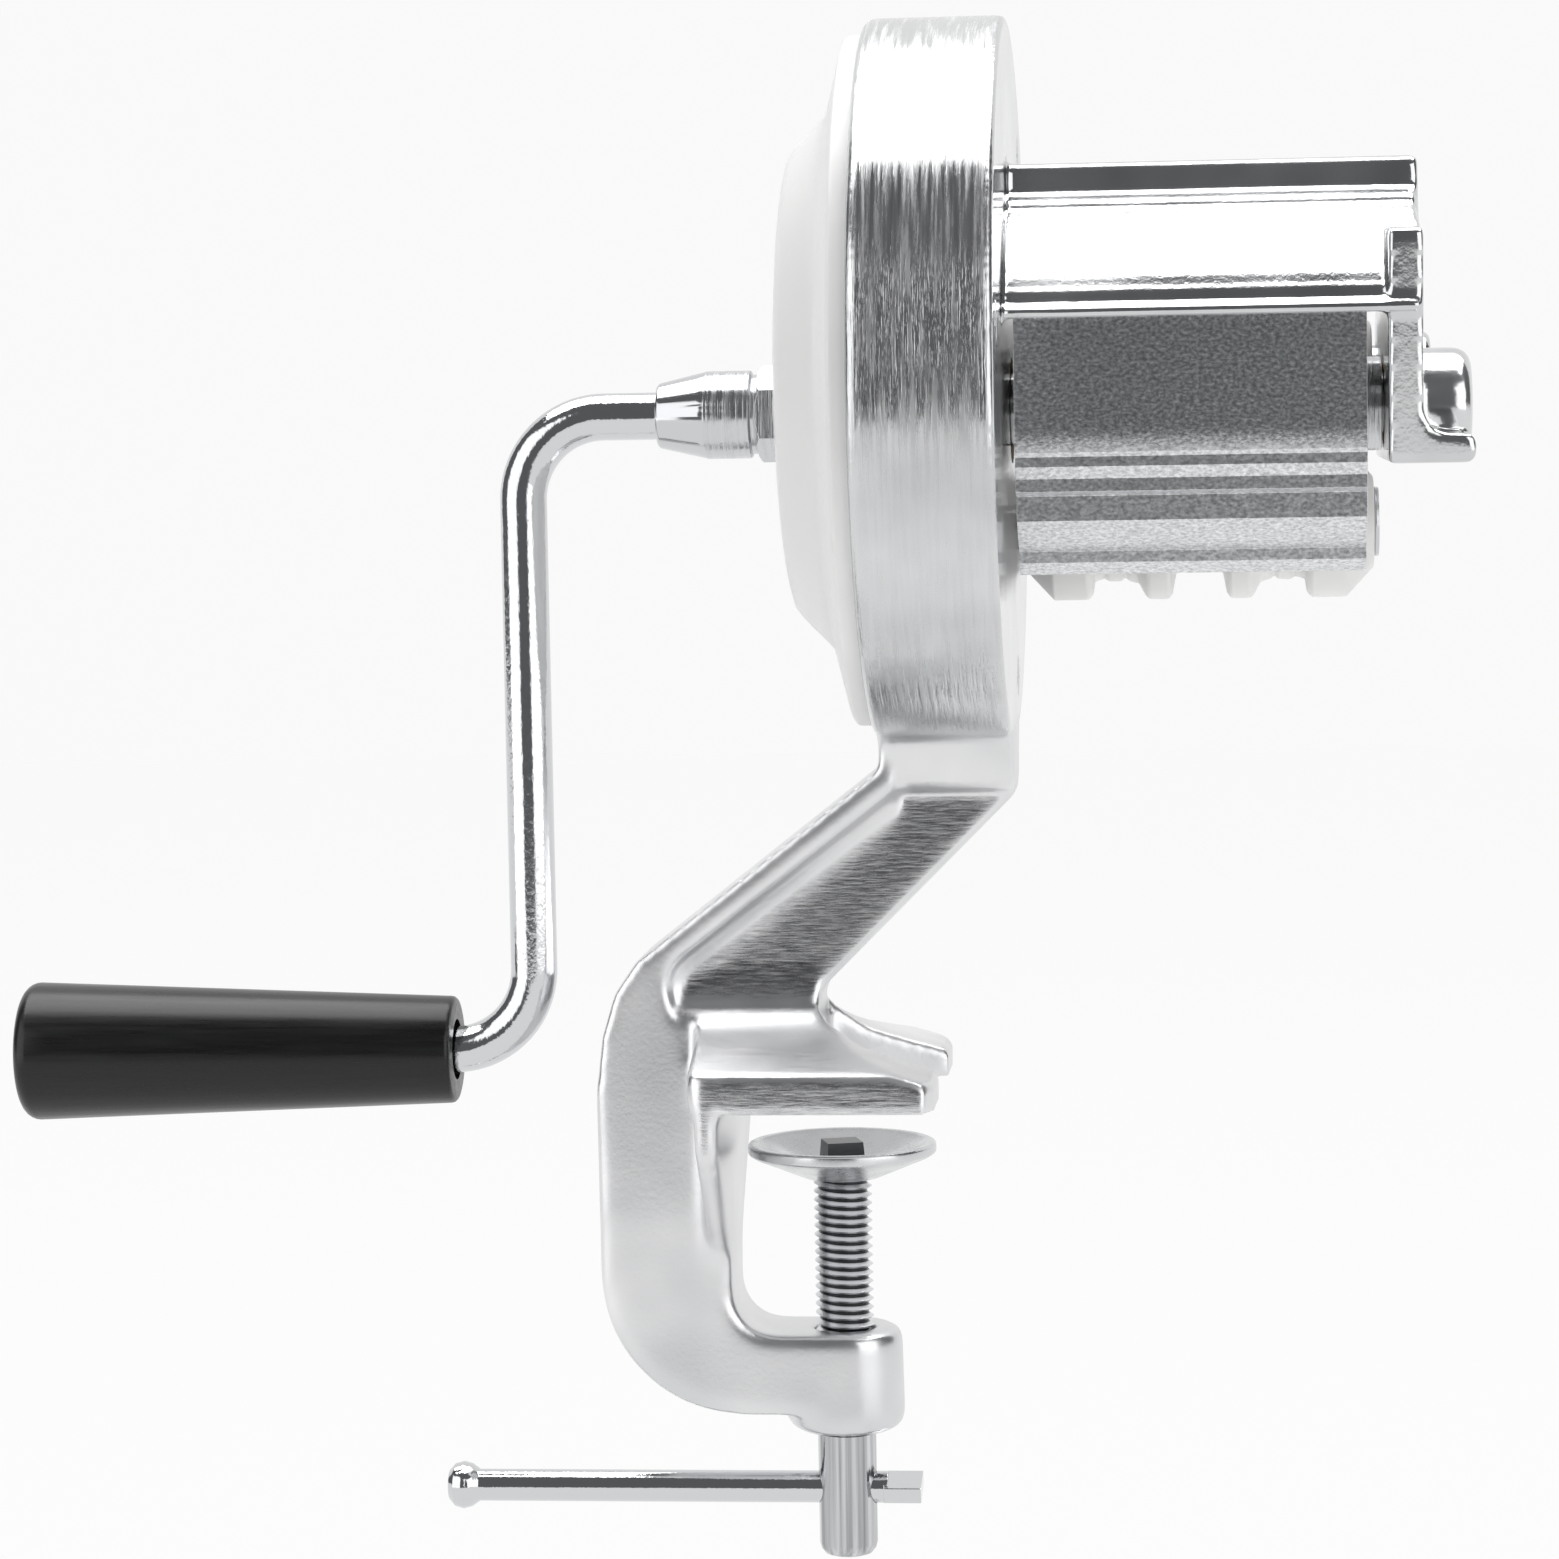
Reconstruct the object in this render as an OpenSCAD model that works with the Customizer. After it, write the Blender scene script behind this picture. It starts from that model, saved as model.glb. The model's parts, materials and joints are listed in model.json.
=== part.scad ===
// Clamp-on cavatelli maker. A crank turns a cutter and, through gears in a round housing,
// two feed rollers. Units are millimetres. +X runs along the crank axis towards the rollers,
// +Y points away from the forming plate and +Z up. The origin is the point of the jaw's flat
// underside that lies on the clamp spindle's axis.

/* [Housing] */
// Height of the crank axis above the jaw's underside
crank_z = 115; // [105:0.5:130]
// Radius of the round gear housing
house_r = 60.5; // [58:0.5:70]
// Height of the housing's centre above the crank axis
house_lift = 5; // [3:0.5:8]
// Left face of the housing, where the cover sits
house_x0 = 7.5; // [5:0.5:10]
// Depth of the housing along the crank axis
house_depth = 23.3; // [20:0.1:30]
// Thickness of the housing's round wall
house_wall = 4; // [3:0.5:5]
// Thickness of the housing's front wall
house_front = 5.5; // [4.5:0.5:8]
// Distance of the cover screws in from the housing's outside
screw_inset = 9.5; // [8.5:0.1:11]
// Room between the gears and the housing's wall
gear_room = 1.6; // [1:0.1:3]

/* [Cover] */
// How far the cover's rim stands in from the housing's outside
cover_step = 2.7; // [1.5:0.1:4]
// Thickness of the cover's skin
cover_t = 2.5; // [2:0.1:3.5]
// Width of the cover's rim along the axis
cover_rim = 3.2; // [2:0.1:5]
// Radius at which the cover's flange turns into its cone
cover_flange_r = 45.5; // [42:0.5:48]
// Radius of the cover's domed face
cover_face_r = 38.5; // [34:0.5:40]
// How far the cone stands out from the flange
cover_cone_h = 6.9; // [6:0.1:10]
// Bulge of the domed face
cover_bulge = 2.5; // [1.5:0.1:3.5]

/* [Gears] */
// Module of the gear teeth
gear_m = 1.5; // [1.5:0.5:1.5]
// Teeth of the crank gear
crank_teeth = 24; // [24:1:24]
// Teeth of the upper roller's gear on the crank gear
upper_teeth = 24; // [24:1:24]
// Teeth of the two equal gears that join the rollers
pair_teeth = 18; // [18:1:18]
// Width of each gear
gear_w = 6; // [5:0.5:6.5]
// Play between meshing teeth
gear_play = 0.24; // [0.15:0.01:0.3]

/* [Rollers] */
// Radius of the feed rollers over their ribs
roller_r = 13; // [12:0.1:13.2]
// Length of the feed rollers
roller_len = 60.2; // [56:0.1:60.4]
// Depth of the plain middle groove
roller_groove = 4.6; // [3:0.1:6]
// Depth of the two ridged grooves
roller_ridged = 3.2; // [2:0.1:4]
// Radius of the roller shafts
roller_shaft_r = 4; // [3.5:0.1:4.5]
// Direction of the lower roller from the crank axis, below level
lower_angle = 34.4; // [33:0.1:36]

/* [Cutter] */
// Radius of the main shaft
shaft_r = 6; // [5:0.5:6.5]
// Radius of the main shaft's front journal
journal_r = 5; // [4:0.5:5.5]
// Radius over the cutter's blades
cutter_r = 22.5; // [20:0.5:23]
// Radius of the cutter's hub
cutter_hub_r = 10.5; // [9:0.5:12]
// Thickness of each blade
blade_t = 3.6; // [3:0.1:5]
// Number of blades
blades = 4; // [2:1:5]
// Radius of the thrust collar
collar_r = 7.8; // [7:0.1:9]

/* [Forming plate] */
// Radius of the plate's outer face
plate_r = 27.4; // [27:0.1:28]
// Thickness of the plate
plate_t = 3; // [2.5:0.1:3.2]
// How far the plate's curve is centred below the crank axis
plate_drop = 3; // [2:0.1:4]
// Angle that the plate wraps below level
plate_wrap = 64.4; // [55:0.1:68]
// Gap between the plate and the housing
plate_left = 1.6; // [1:0.1:3]
// Gap between the plate and the end plate
plate_right = 3.3; // [3:0.1:6]
// Radius of the plate's screws
plate_screw_r = 1.2; // [1:0.1:1.4]
// Depth of the plate's screws in the lip
plate_screw_in = 3; // [2.5:0.1:3.5]

/* [Bridge] */
// Outer radius of the bridge about the crank axis
bridge_r = 36; // [35:0.5:38]
// Thickness of the bridge
bridge_t = 4.5; // [4:0.1:6]
// Height of the bridge's top edge above the crank axis
bridge_top = 40.5; // [39:0.5:43]
// Gap between the rollers and the end plate
end_gap = 0.8; // [0.5:0.1:2]
// Thickness of the end plate
end_t = 5.6; // [5:0.1:8]
// How far the end plate reaches to the near side
end_near = 33.4; // [32:0.1:35]
// How far the end plate's near edge leans in towards its foot
end_lean = 4.4; // [2:0.1:5]
// How far the end plate reaches to the far side
end_far = 44; // [43:0.5:48]
// Radius of the main bearing boss
boss_r = 9.1; // [8.5:0.1:10]
// Length of the main bearing boss
boss_len = 9; // [8:0.1:11]
// Radius of the upper roller's bearing boss
small_boss_r = 6.4; // [6:0.1:7.5]
// Length of the upper roller's bearing boss
small_boss_len = 3.8; // [3:0.1:6]

/* [Clamp frame] */
// Outer back of the C-shaped clamp, left of the spindle
clamp_back = 41; // [38:0.5:45]
// Inner back of the throat, left of the spindle
throat_back = 18.2; // [16.5:0.1:20]
// Depth of the throat's floor below the jaw
throat_floor = 41; // [38:0.5:48]
// Depth of the clamp's outer bottom below the jaw
clamp_bottom = 55; // [52:0.5:60]
// Half width of the clamp
clamp_half = 10.5; // [9:0.5:13]
// Half thickness of the clamp beside the spindle boss
foot_half = 9.5; // [8.5:0.5:10]
// Half thickness of the arm's web
web_half = 6.5; // [5:0.5:8]
// Radius of the cove between the arm's flange and its web
cove_r = 4; // [2:0.1:4]
// Width of that cove along the cheek
cove_w = 6.5; // [4:0.1:8]
// Width of the arm's rim outside the cove
flange_w = 4.2; // [3:0.1:6]
// Radius of the spindle boss
nut_r = 10.2; // [9.5:0.1:12]
// Bottom of the spindle boss below the jaw
nut_bottom = 58.7; // [56:0.1:62]

/* [Jaw] */
// Reach of the jaw's tips right of the spindle
jaw_tip = 17.6; // [16:0.1:20]
// Left end of the jaw, left of the spindle
jaw_back = 23.5; // [22:0.1:26]
// Half width of the jaw over its prongs
jaw_half = 29.5; // [27:0.5:32]
// Height of the jaw at its long edges
jaw_edge_h = 6.5; // [5:0.1:7.5]
// Slope of the jaw's top beside its edge in degrees
jaw_slope = 16; // [10:1:25]
// Radius that runs the jaw's top up into the cheek
jaw_fillet = 12; // [8:0.5:14]
// Half width of the gap between the prongs at the tips
fork_half = 13.3; // [12:0.1:15]
// Half width of the gap between the prongs at its root
fork_root_half = 9; // [8:0.1:10]
// Root of the gap, left of the spindle
fork_root = 2.8; // [2:0.1:4]
// Height of the prongs at the tips
jaw_tip_h = 4.8; // [4:0.1:6]
// Height of the prongs at the gap's root
jaw_root_h = 15.7; // [14:0.1:17]
// Drop of the table stop below the jaw
stop_drop = 7.2; // [6:0.1:8.5]
// Depth of the stop's foot on the clamp's back
stop_foot = 27; // [22:0.5:30]
// Thickness of the table stop
stop_t = 4; // [3:0.1:6]

/* [Spindle] */
// Radius of the spindle over its thread
spindle_r = 5; // [4.5:0.25:5]
// Thread pitch
thread_pitch = 1.5; // [1.25:0.25:1.75]
// Room between the spindle boss and the plain end of the spindle
shank_gap = 0.5; // [0.3:0.1:4]
// Lower end of the spindle below the jaw
spindle_end = 80.8; // [78:0.1:90]
// Radius of the pad
pad_r = 16.1; // [14:0.1:16.5]
// Radius of the pad's hub
pad_hub_r = 6.4; // [6:0.1:7]
// Depth of the pad
pad_depth = 6; // [5:0.1:6.5]
// Gap from the jaw to the pad's rim
pad_gap = 9.2; // [7:0.1:12]
// Height of the cross hole's axis below the jaw
bar_z = 69.2; // [67.5:0.1:72]
// Radius of the cross bar
bar_r = 2.75; // [2.5:0.05:2.8]
// Left end of the cross bar, from the spindle
bar_left = 69.6; // [60:0.1:80]
// Right end of the cross bar, from the spindle
bar_right = 12.8; // [11.5:0.1:14]
// Radius of the bar's round head
bar_head_r = 4.1; // [3.6:0.1:5]

/* [Crank] */
// Radius of the crank rod
rod_r = 4; // [3.5:0.1:4.2]
// Throw of the crank
crank_throw = 108; // [95:0.5:115]
// Distance of the crank's upright part left of the spindle
rod_x = 52.5; // [50:0.1:56]
// Radius of the upper bend
bend_upper = 14; // [12:0.5:16]
// Radius of the lower bend
bend_lower = 14; // [12:0.5:15]
// Outer end of the grip left of the spindle
grip_x0 = 141.8; // [120:0.1:150]
// Inner end of the grip left of the spindle
grip_x1 = 66.2; // [64:0.1:70]
// Largest radius of the grip
grip_r0 = 11.9; // [10:0.1:13]
// Smallest radius of the grip
grip_r1 = 9.2; // [8:0.1:11]
// Left end of the crank's ferrule, left of the spindle
ferrule_x0 = 29.1; // [28:0.1:32]
// Where the ferrule's cone ends
ferrule_x1 = 20.6; // [19:0.1:23]
// Largest radius of the ferrule
ferrule_r = 7.4; // [7:0.1:8]
// Smallest radius of the ferrule
ferrule_r0 = 5.5; // [5.2:0.1:6]
// Width across the flats of the locknut
nut_af = 14.1; // [13:0.1:15]
// Thickness of the locknut
nut_t = 3.4; // [3:0.1:4]

/* [Fits] */
// Radial running clearance of a shaft in its bush
run_fit = 0.04; // [0.02:0.01:0.08]
// Radial clearance of a piece that is fixed in place
fixed_fit = 0.02; // [0.01:0.01:0.03]
// Clearance of the screw thread in the boss
thread_fit = 0.15; // [0.1:0.05:0.3]
// Radial play of the cross bar and the grip
loose_fit = 0.08; // [0.05:0.01:0.1]
// Gap between moving faces
free_gap = 0.4; // [0.3:0.1:0.6]

/* [Hidden] */
$fn = 72;
house_z = crank_z + house_lift;
house_x1 = house_x0 + house_depth;
wall_x = house_x1 - house_front;
house_in = house_r - house_wall;
screw_angles = [50, 170, 280];
screw_circle = house_r - screw_inset;
cover_r = house_r - cover_step;
upper_dist = gear_m * (crank_teeth + upper_teeth) / 2;
pair_dist = gear_m * pair_teeth;
lower_dist = upper_dist + 0.35;
lower_y = lower_dist * cos(lower_angle);
lower_z = crank_z - lower_dist * sin(lower_angle);
span_cos = (upper_dist * upper_dist + lower_dist * lower_dist - pair_dist * pair_dist)
    / (2 * upper_dist * lower_dist);
upper_angle = acos(span_cos) - lower_angle;
upper_y = upper_dist * cos(upper_angle);
upper_z = crank_z + upper_dist * sin(upper_angle);
// The housing keeps its room round the upper gear when it is made smaller.
house_y = max(0, upper_y + gear_m * (upper_teeth / 2 + 0.92) + gear_room - house_in);
arm_top = house_z - house_in - house_wall * 0.4;
bush_flange = 1.6;
pair_x = wall_x - bush_flange - free_gap - gear_w;
drive_x = pair_x - 1 - gear_w;
roller_x0 = house_x1 + 0.8;
roller_x1 = roller_x0 + roller_len;
end_x0 = roller_x1 + end_gap;
end_x1 = end_x0 + end_t;
end_low = crank_z - 9.6;
plate_x0 = house_x1 + plate_left;
plate_x1 = end_x0 - plate_right;
boss_x1 = end_x1 + boss_len;
face_x = house_x0 - cover_rim - 3 - cover_cone_h - cover_bulge;
shoulder_x = face_x - free_gap;
plate_z = crank_z - plate_drop;
plate_in = plate_r - plate_t;
plate_top = crank_z + 19.5;
lip_z = crank_z + 14.8;
grip_z = crank_z - crank_throw;
rod_end = grip_x0 - 2.6;
stud_r = 4;
stud_end = 22;
main_bush_r = 8.5;
main_flange_r = main_bush_r + 2.5;
plate_screw_z = lip_z + 1.7;
lip_out = plate_r + 5.9;
front_bush_r = 7;
roller_bush_r = 6;
roller_flange_r = roller_bush_r + 2;
collar_x = plate_x1 + 0.3;
thread_root = spindle_r - 0.61 * thread_pitch;

// Turns a shape drawn along +Z so that it runs along +X from x.
module at_x(x, y = 0, z = 0) {
    translate([x, y, z]) rotate([0, 90, 0]) children();
}

// Draws a flat outline in Y and Z and gives it a thickness along X.
module yz_plate(x, t) {
    translate([x, 0, 0]) rotate([90, 0, 90]) linear_extrude(t) children();
}

// Draws a flat outline in X and Z and gives it a half width to both sides.
module xz_plate(half) {
    rotate([90, 0, 0]) translate([0, 0, -half]) linear_extrude(2 * half) children();
}

module tube_x(x0, x1, r_out, r_in, y = 0, z = 0) {
    at_x(x0, y, z) difference() {
        cylinder(r = r_out, h = x1 - x0);
        translate([0, 0, -1]) cylinder(r = r_in, h = x1 - x0 + 2);
    }
}

module rod_along(x0, x1, r, y = 0, z = 0) {
    at_x(x0, y, z) cylinder(r = r, h = x1 - x0);
}

function corner(cx, cy, r, a0, a1, n = 4) =
    [for (i = [0:n]) [cx + r * cos(a0 + (a1 - a0) * i / n), cy + r * sin(a0 + (a1 - a0) * i / n)]];

// Half angle of a tooth at radius r, for an involute of 20 degrees.
function inv_angle(x) = x * 180 / PI - atan(x);
function tooth_half(n, rp, r) =
    let (rb = rp * cos(20), rr = max(r, rb))
    90 / n - gear_play / rp * 45 / PI
        + inv_angle(tan(20)) - inv_angle(sqrt(rr * rr / (rb * rb) - 1));

function gear_outline(n) =
    let (rp = gear_m * n / 2, radii = [rp - 1.25 * gear_m, rp - 0.35 * gear_m,
        rp + 0.3 * gear_m, rp + 0.92 * gear_m])
    [for (k = [0:n - 1])
        for (j = [0:7])
            let (i = j < 4 ? j : 7 - j, s = j < 4 ? -1 : 1, r = radii[i],
                a = 360 * k / n + s * tooth_half(n, rp, r))
            [r * cos(a), r * sin(a)]];

// A spur gear along X, with tooth 0 turned to the angle given from +Y towards +Z.
module gear_x(x, w, n, bore, y, z, turn) {
    translate([x, y, z]) rotate([90, 0, 90]) rotate(turn) difference() {
        linear_extrude(w) polygon(gear_outline(n));
        translate([0, 0, -1]) cylinder(r = bore, h = w + 2);
    }
}

function screw_y(a) = house_y + screw_circle * cos(a);
function screw_z(a) = house_z + screw_circle * sin(a);

module housing() {
    c = 1.7;
    e = 0.8;
    at_x(0, house_y, house_z) rotate_extrude() polygon(concat(
        [[0, wall_x], [house_in, wall_x], [house_in, house_x0]],
        corner(house_r - c, house_x0 + c, c, -90, 0),
        corner(house_r - e, house_x1 - e, e, 0, 90),
        [[0, house_x1]]));
    for (a = screw_angles)
        rod_along(house_x0, wall_x + 1, 4, screw_y(a), screw_z(a));
}

module bridge_outline() {
    translate([0, crank_z]) intersection() {
        difference() {
            circle(r = bridge_r, $fn = 120);
            circle(r = bridge_r - bridge_t, $fn = 120);
        }
        polygon([[0, 0], 60 * [cos(149), sin(149)], 60 * [cos(110), sin(110)],
            60 * [cos(72), sin(72)]]);
    }
    translate([0, crank_z]) polygon([[-16, bridge_r - bridge_t], [-15.1, bridge_r - 3.4],
        [-15.05, bridge_r - 2.7], [-14.7, bridge_top - 6.6], [-13.8, bridge_top - 6.1],
        [-12.4, bridge_top - 5.3], [-11.7, bridge_top - 4.4], [-11.6, bridge_top - 1.4],
        [-11, bridge_top - 0.4], [-10, bridge_top], [-4.5, bridge_top], [-3.5, bridge_top - 1], [-1, bridge_r - 2.5],
        [-4, bridge_r - 4]]);
    translate([0, lip_z]) polygon([[-lip_out + 2.4, 4], [-lip_out + 1.9, 2.1], [-lip_out + 1.2, 1.8],
        [-lip_out + 0.4, 1.6], [-lip_out, 1.1], [-lip_out, 0.5], [-lip_out + 0.4, 0], [-plate_r - 0.05, 0],
        [-plate_r - 0.05, 6.7]]);
}

module bridge() {
    difference() {
        yz_plate(house_x1 - 1, end_x1 - house_x1 + 0.4) bridge_outline();
        translate([house_x1, -plate_r - 0.05, lip_z - 1])
            cube([end_x0 - house_x1, 8, plate_top + 0.05 - lip_z + 1]);
    }
}

module end_plate() {
    yz_plate(end_x0, end_t) polygon([[-end_near + end_lean, end_low], [-end_near, crank_z + 27.2],
        [-end_near + 0.8, crank_z + 28], [-23.2, crank_z + 28], [-15, crank_z + bridge_r - 5.5],
        [-12.6, crank_z + bridge_r - 2.5], [-11, crank_z + bridge_top - 1.2],
        [-10.4, crank_z + bridge_top - 0.4], [-4.5, crank_z + bridge_top - 0.4], [13, crank_z + 33],
        [end_far - 2, upper_z + 7], [end_far, upper_z + 4], [end_far, upper_z - 5], [end_far - 5, end_low]]);
    intersection() {
        translate([end_x1, 0, end_low]) rotate([90, 0, 0]) linear_extrude(end_near) polygon([[-1, 0],
            [boss_len - 1.6, 0], [boss_len - 0.6, 1], [boss_len - 0.6, 3.6], [boss_len - 1.6, 4.6],
            [3.6, 4.8], [1.4, 5.6], [0.3, 7.4], [0, 9], [-1, 9]]);
        yz_plate(end_x1 - 2, boss_len + 4) polygon([[-end_near + end_lean, end_low],
            [-end_near, crank_z + 27.2], [1, crank_z + 27.2], [1, end_low]]);
    }
    at_x(end_x1 - 0.5, 0, crank_z) rotate_extrude() polygon(concat([[0, 0], [boss_r, 0]],
        corner(boss_r - 3, boss_len + 0.5 - 3, 3, 0, 90), [[0, boss_len + 0.5]]));
    at_x(end_x1 - 0.5, upper_y, upper_z) rotate_extrude() polygon(concat(
        [[0, 0], [small_boss_r, 0]], corner(small_boss_r - 1.5, small_boss_len + 0.5 - 1.5, 1.5, 0, 90),
        [[0, small_boss_len + 0.5]]));
}

// The arm's flange runs along its upper edge and ends in a cove on the web.
module arm() {
    low = [-33.6, 23.2];
    high = [8, 55.5];
    along = (high - low) / norm(high - low);
    down = [along[1], -along[0]];
    step = 10.7;
    foot = low + down * (flange_w + cove_w);
    turn = foot + along * cove_w;
    heel = [-throat_back - 0.8, 8];
    difference() {
        xz_plate(clamp_half) polygon([[8, arm_top], high, low, [-37.5, 17.5], [-39.8, 10],
            [-clamp_back, 0], [-clamp_back, -10], [-throat_back, -10], [-throat_back, 4], heel, turn,
            foot + along * (step - foot[0]) / along[0], [step, arm_top]]);
        for (s = [-1, 1])
            translate([turn[0], s * clamp_half, turn[1]]) {
                scale([cove_w / cove_r, 1, cove_w / cove_r]) sphere(r = cove_r);
                rotate([0, 90 - atan2(along[1], along[0]), 0]) scale([cove_w / cove_r, 1, 1])
                    cylinder(r = cove_r, h = norm(high - low) - cove_w);
                rotate([0, atan2(heel[0] - turn[0], heel[1] - turn[1]), 0]) scale([cove_w / cove_r, 1, 1])
                    cylinder(r = cove_r, h = norm(heel - turn));
            }
    }
    yz_plate(step - 1, house_x1 - step + 1) polygon([[-12.5, arm_top], [-8.2, 51.6], [8.2, 51.6],
        [12.5, arm_top]]);
    xz_plate(web_half) polygon([[house_x1, 60], [house_x1, 50.8], [-fork_root + 0.9, jaw_root_h + 2.7],
        [-fork_root, jaw_root_h], [-fork_root, 2], [-28, 2], [-32, 20], [10, 54]]);
}

module clamp_outline() {
    bend = clamp_bottom - 31;
    difference() {
        union() {
            translate([-clamp_back, -31]) square([clamp_back - throat_back, 33]);
            intersection() {
                translate([-clamp_back + bend, -31]) circle(r = bend, $fn = 96);
                translate([-clamp_back - 1, -clamp_bottom - 1]) square([bend + 1, bend + 2]);
            }
            translate([-clamp_back + bend - 1, -clamp_bottom])
                square([clamp_back - bend + 1, clamp_bottom - throat_floor]);
            translate([-throat_back - 1, -throat_floor - 1]) square([8, 9]);
        }
        translate([-throat_back + 7, -throat_floor + 7]) circle(r = 7);
        translate([-throat_back, -throat_floor + 7]) square([20, 10]);
    }
}

module clamp_frame() {
    intersection() {
        xz_plate(clamp_half) clamp_outline();
        yz_plate(-clamp_back - 1, clamp_back + 20) polygon([[clamp_half, 3], [clamp_half, -20],
            [foot_half, -throat_floor], [foot_half, -nut_bottom], [-foot_half, -nut_bottom],
            [-foot_half, -throat_floor], [-clamp_half, -20], [-clamp_half, 3]]);
    }
    intersection() {
        translate([0, 0, -nut_bottom]) rotate_extrude() polygon(concat([[0, 0]],
            corner(nut_r - 2, 2, 2, -90, 0),
            corner(nut_r - 1.1, nut_bottom - throat_floor - 0.8, 0.8, 0, 90),
            [[0, nut_bottom - throat_floor]]));
        translate([-nut_r - 1, -foot_half, -nut_bottom - 1])
            cube([2 * nut_r + 2, 2 * foot_half, nut_bottom]);
    }
}

// The jaw's top falls from the web to its long edges, and down a ramp to the prongs' tips.
module jaw() {
    rise = jaw_edge_h + (jaw_half - web_half - 0.5 - jaw_fillet * (1 - sin(jaw_slope))) * tan(jaw_slope);
    half = concat([[jaw_half, 0], [jaw_half - 0.5, jaw_edge_h]], [for (k = [0:5])
        let (a = jaw_slope + k * (90 - jaw_slope) / 5)
        [web_half + jaw_fillet * (1 - sin(a)), rise + jaw_fillet * (cos(jaw_slope) - cos(a))]]);
    fall = jaw_root_h - jaw_tip_h;
    intersection() {
        yz_plate(-jaw_back - 4, jaw_back + 4 + jaw_tip) polygon(concat(half,
            [for (i = [len(half) - 1:-1:0]) [-half[i][0], half[i][1]]]));
        xz_plate(jaw_half + 1) polygon([[-jaw_back - 4, -1], [-jaw_back - 4, 30], [-fork_root - 0.2, 30],
            [-fork_root, jaw_root_h], [-1.2, jaw_tip_h + fall * 0.76], [1.1, jaw_tip_h + fall * 0.58],
            [4.2, jaw_tip_h + fall * 0.39], [9.3, jaw_tip_h + fall * 0.23], [13, jaw_tip_h + fall * 0.12],
            [jaw_tip, jaw_tip_h], [jaw_tip, -1]]);
        linear_extrude(40) difference() {
            polygon([[-jaw_back - 4, -clamp_half + 0.3], [-jaw_back, -clamp_half + 0.3],
                [-jaw_back, -jaw_half + 2], [-jaw_back + 2, -jaw_half], [jaw_tip - 1.5, -jaw_half],
                [jaw_tip, -jaw_half + 4], [jaw_tip, jaw_half - 4], [jaw_tip - 1.5, jaw_half],
                [-jaw_back + 2, jaw_half], [-jaw_back, jaw_half - 2],
                [-jaw_back, clamp_half - 0.3], [-jaw_back - 4, clamp_half - 0.3]]);
            polygon([[jaw_tip + 1, -fork_half], [-fork_root + 1, -fork_root_half],
                [-fork_root, -fork_root_half + 1.2], [-fork_root, fork_root_half - 1.2],
                [-fork_root + 1, fork_root_half], [jaw_tip + 1, fork_half]]);
        }
    }
    yz_plate(-throat_back - stop_t, stop_t) polygon([[-clamp_half, -stop_foot], [-jaw_half, -stop_drop],
        [-jaw_half, 1], [jaw_half, 1], [jaw_half, -stop_drop], [clamp_half, -stop_foot]]);
}

module body_casting() {
    color("#c9cbcd") difference() {
        union() {
            housing();
            bridge();
            end_plate();
            arm();
            clamp_frame();
            jaw();
        }
        rod_along(wall_x - 1, house_x1 + 1, main_bush_r + fixed_fit, 0, crank_z);
        rod_along(wall_x - 1, house_x1 + 1, roller_bush_r + fixed_fit, upper_y, upper_z);
        rod_along(wall_x - 1, house_x1 + 1, roller_bush_r + fixed_fit, lower_y, lower_z);
        rod_along(end_x0 - 1, boss_x1 - 2, front_bush_r + fixed_fit, 0, crank_z);
        rod_along(end_x0 - 1, end_x1 + small_boss_len - 1.5, roller_shaft_r + run_fit, upper_y, upper_z);
        translate([0, 0, -nut_bottom - 1])
            cylinder(r = spindle_r + thread_fit, h = nut_bottom - throat_floor + 2);
        for (a = screw_angles)
            translate([0, screw_y(a), screw_z(a)]) {
                rod_along(house_x0 - 1, house_x1 + 1, 1.6);
                at_x(house_x1 - 1.8) cylinder(r1 = 1.6, r2 = 3.45, h = 1.85);
            }
        for (x = plate_screw_x)
            translate([x, -plate_r, plate_screw_z]) rotate([90, 0, 0])
                translate([0, 0, -1]) cylinder(r = plate_screw_r + fixed_fit, h = plate_screw_in + 1.3);
    }
}
plate_screw_x = [plate_x0 + 11, plate_x1 - 11];

// Outer line of the cover from its rim to the middle, as radius and distance along the axis.
function cover_line(d) =
    let (x0 = house_x0 - cover_rim, fx = x0 - 3, cx = fx - cover_cone_h,
        n = 12, rs = (cover_face_r * cover_face_r + cover_bulge * cover_bulge) / (2 * cover_bulge))
    concat([[cover_flange_r + (d > 0 ? -0.9 : 0), fx + d]],
        [for (p = [[1.4, 1.4], [0, 0.3], [-1.7, -0.15]])
            [cover_face_r + p[0] + (d > 0 ? -0.9 : 0), cx + p[1] + d]],
        [for (i = [1:n]) let (r = cover_face_r * (1 - i / n))
            [r, cx - cover_bulge + rs - sqrt(rs * rs - r * r) + d]]);

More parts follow.
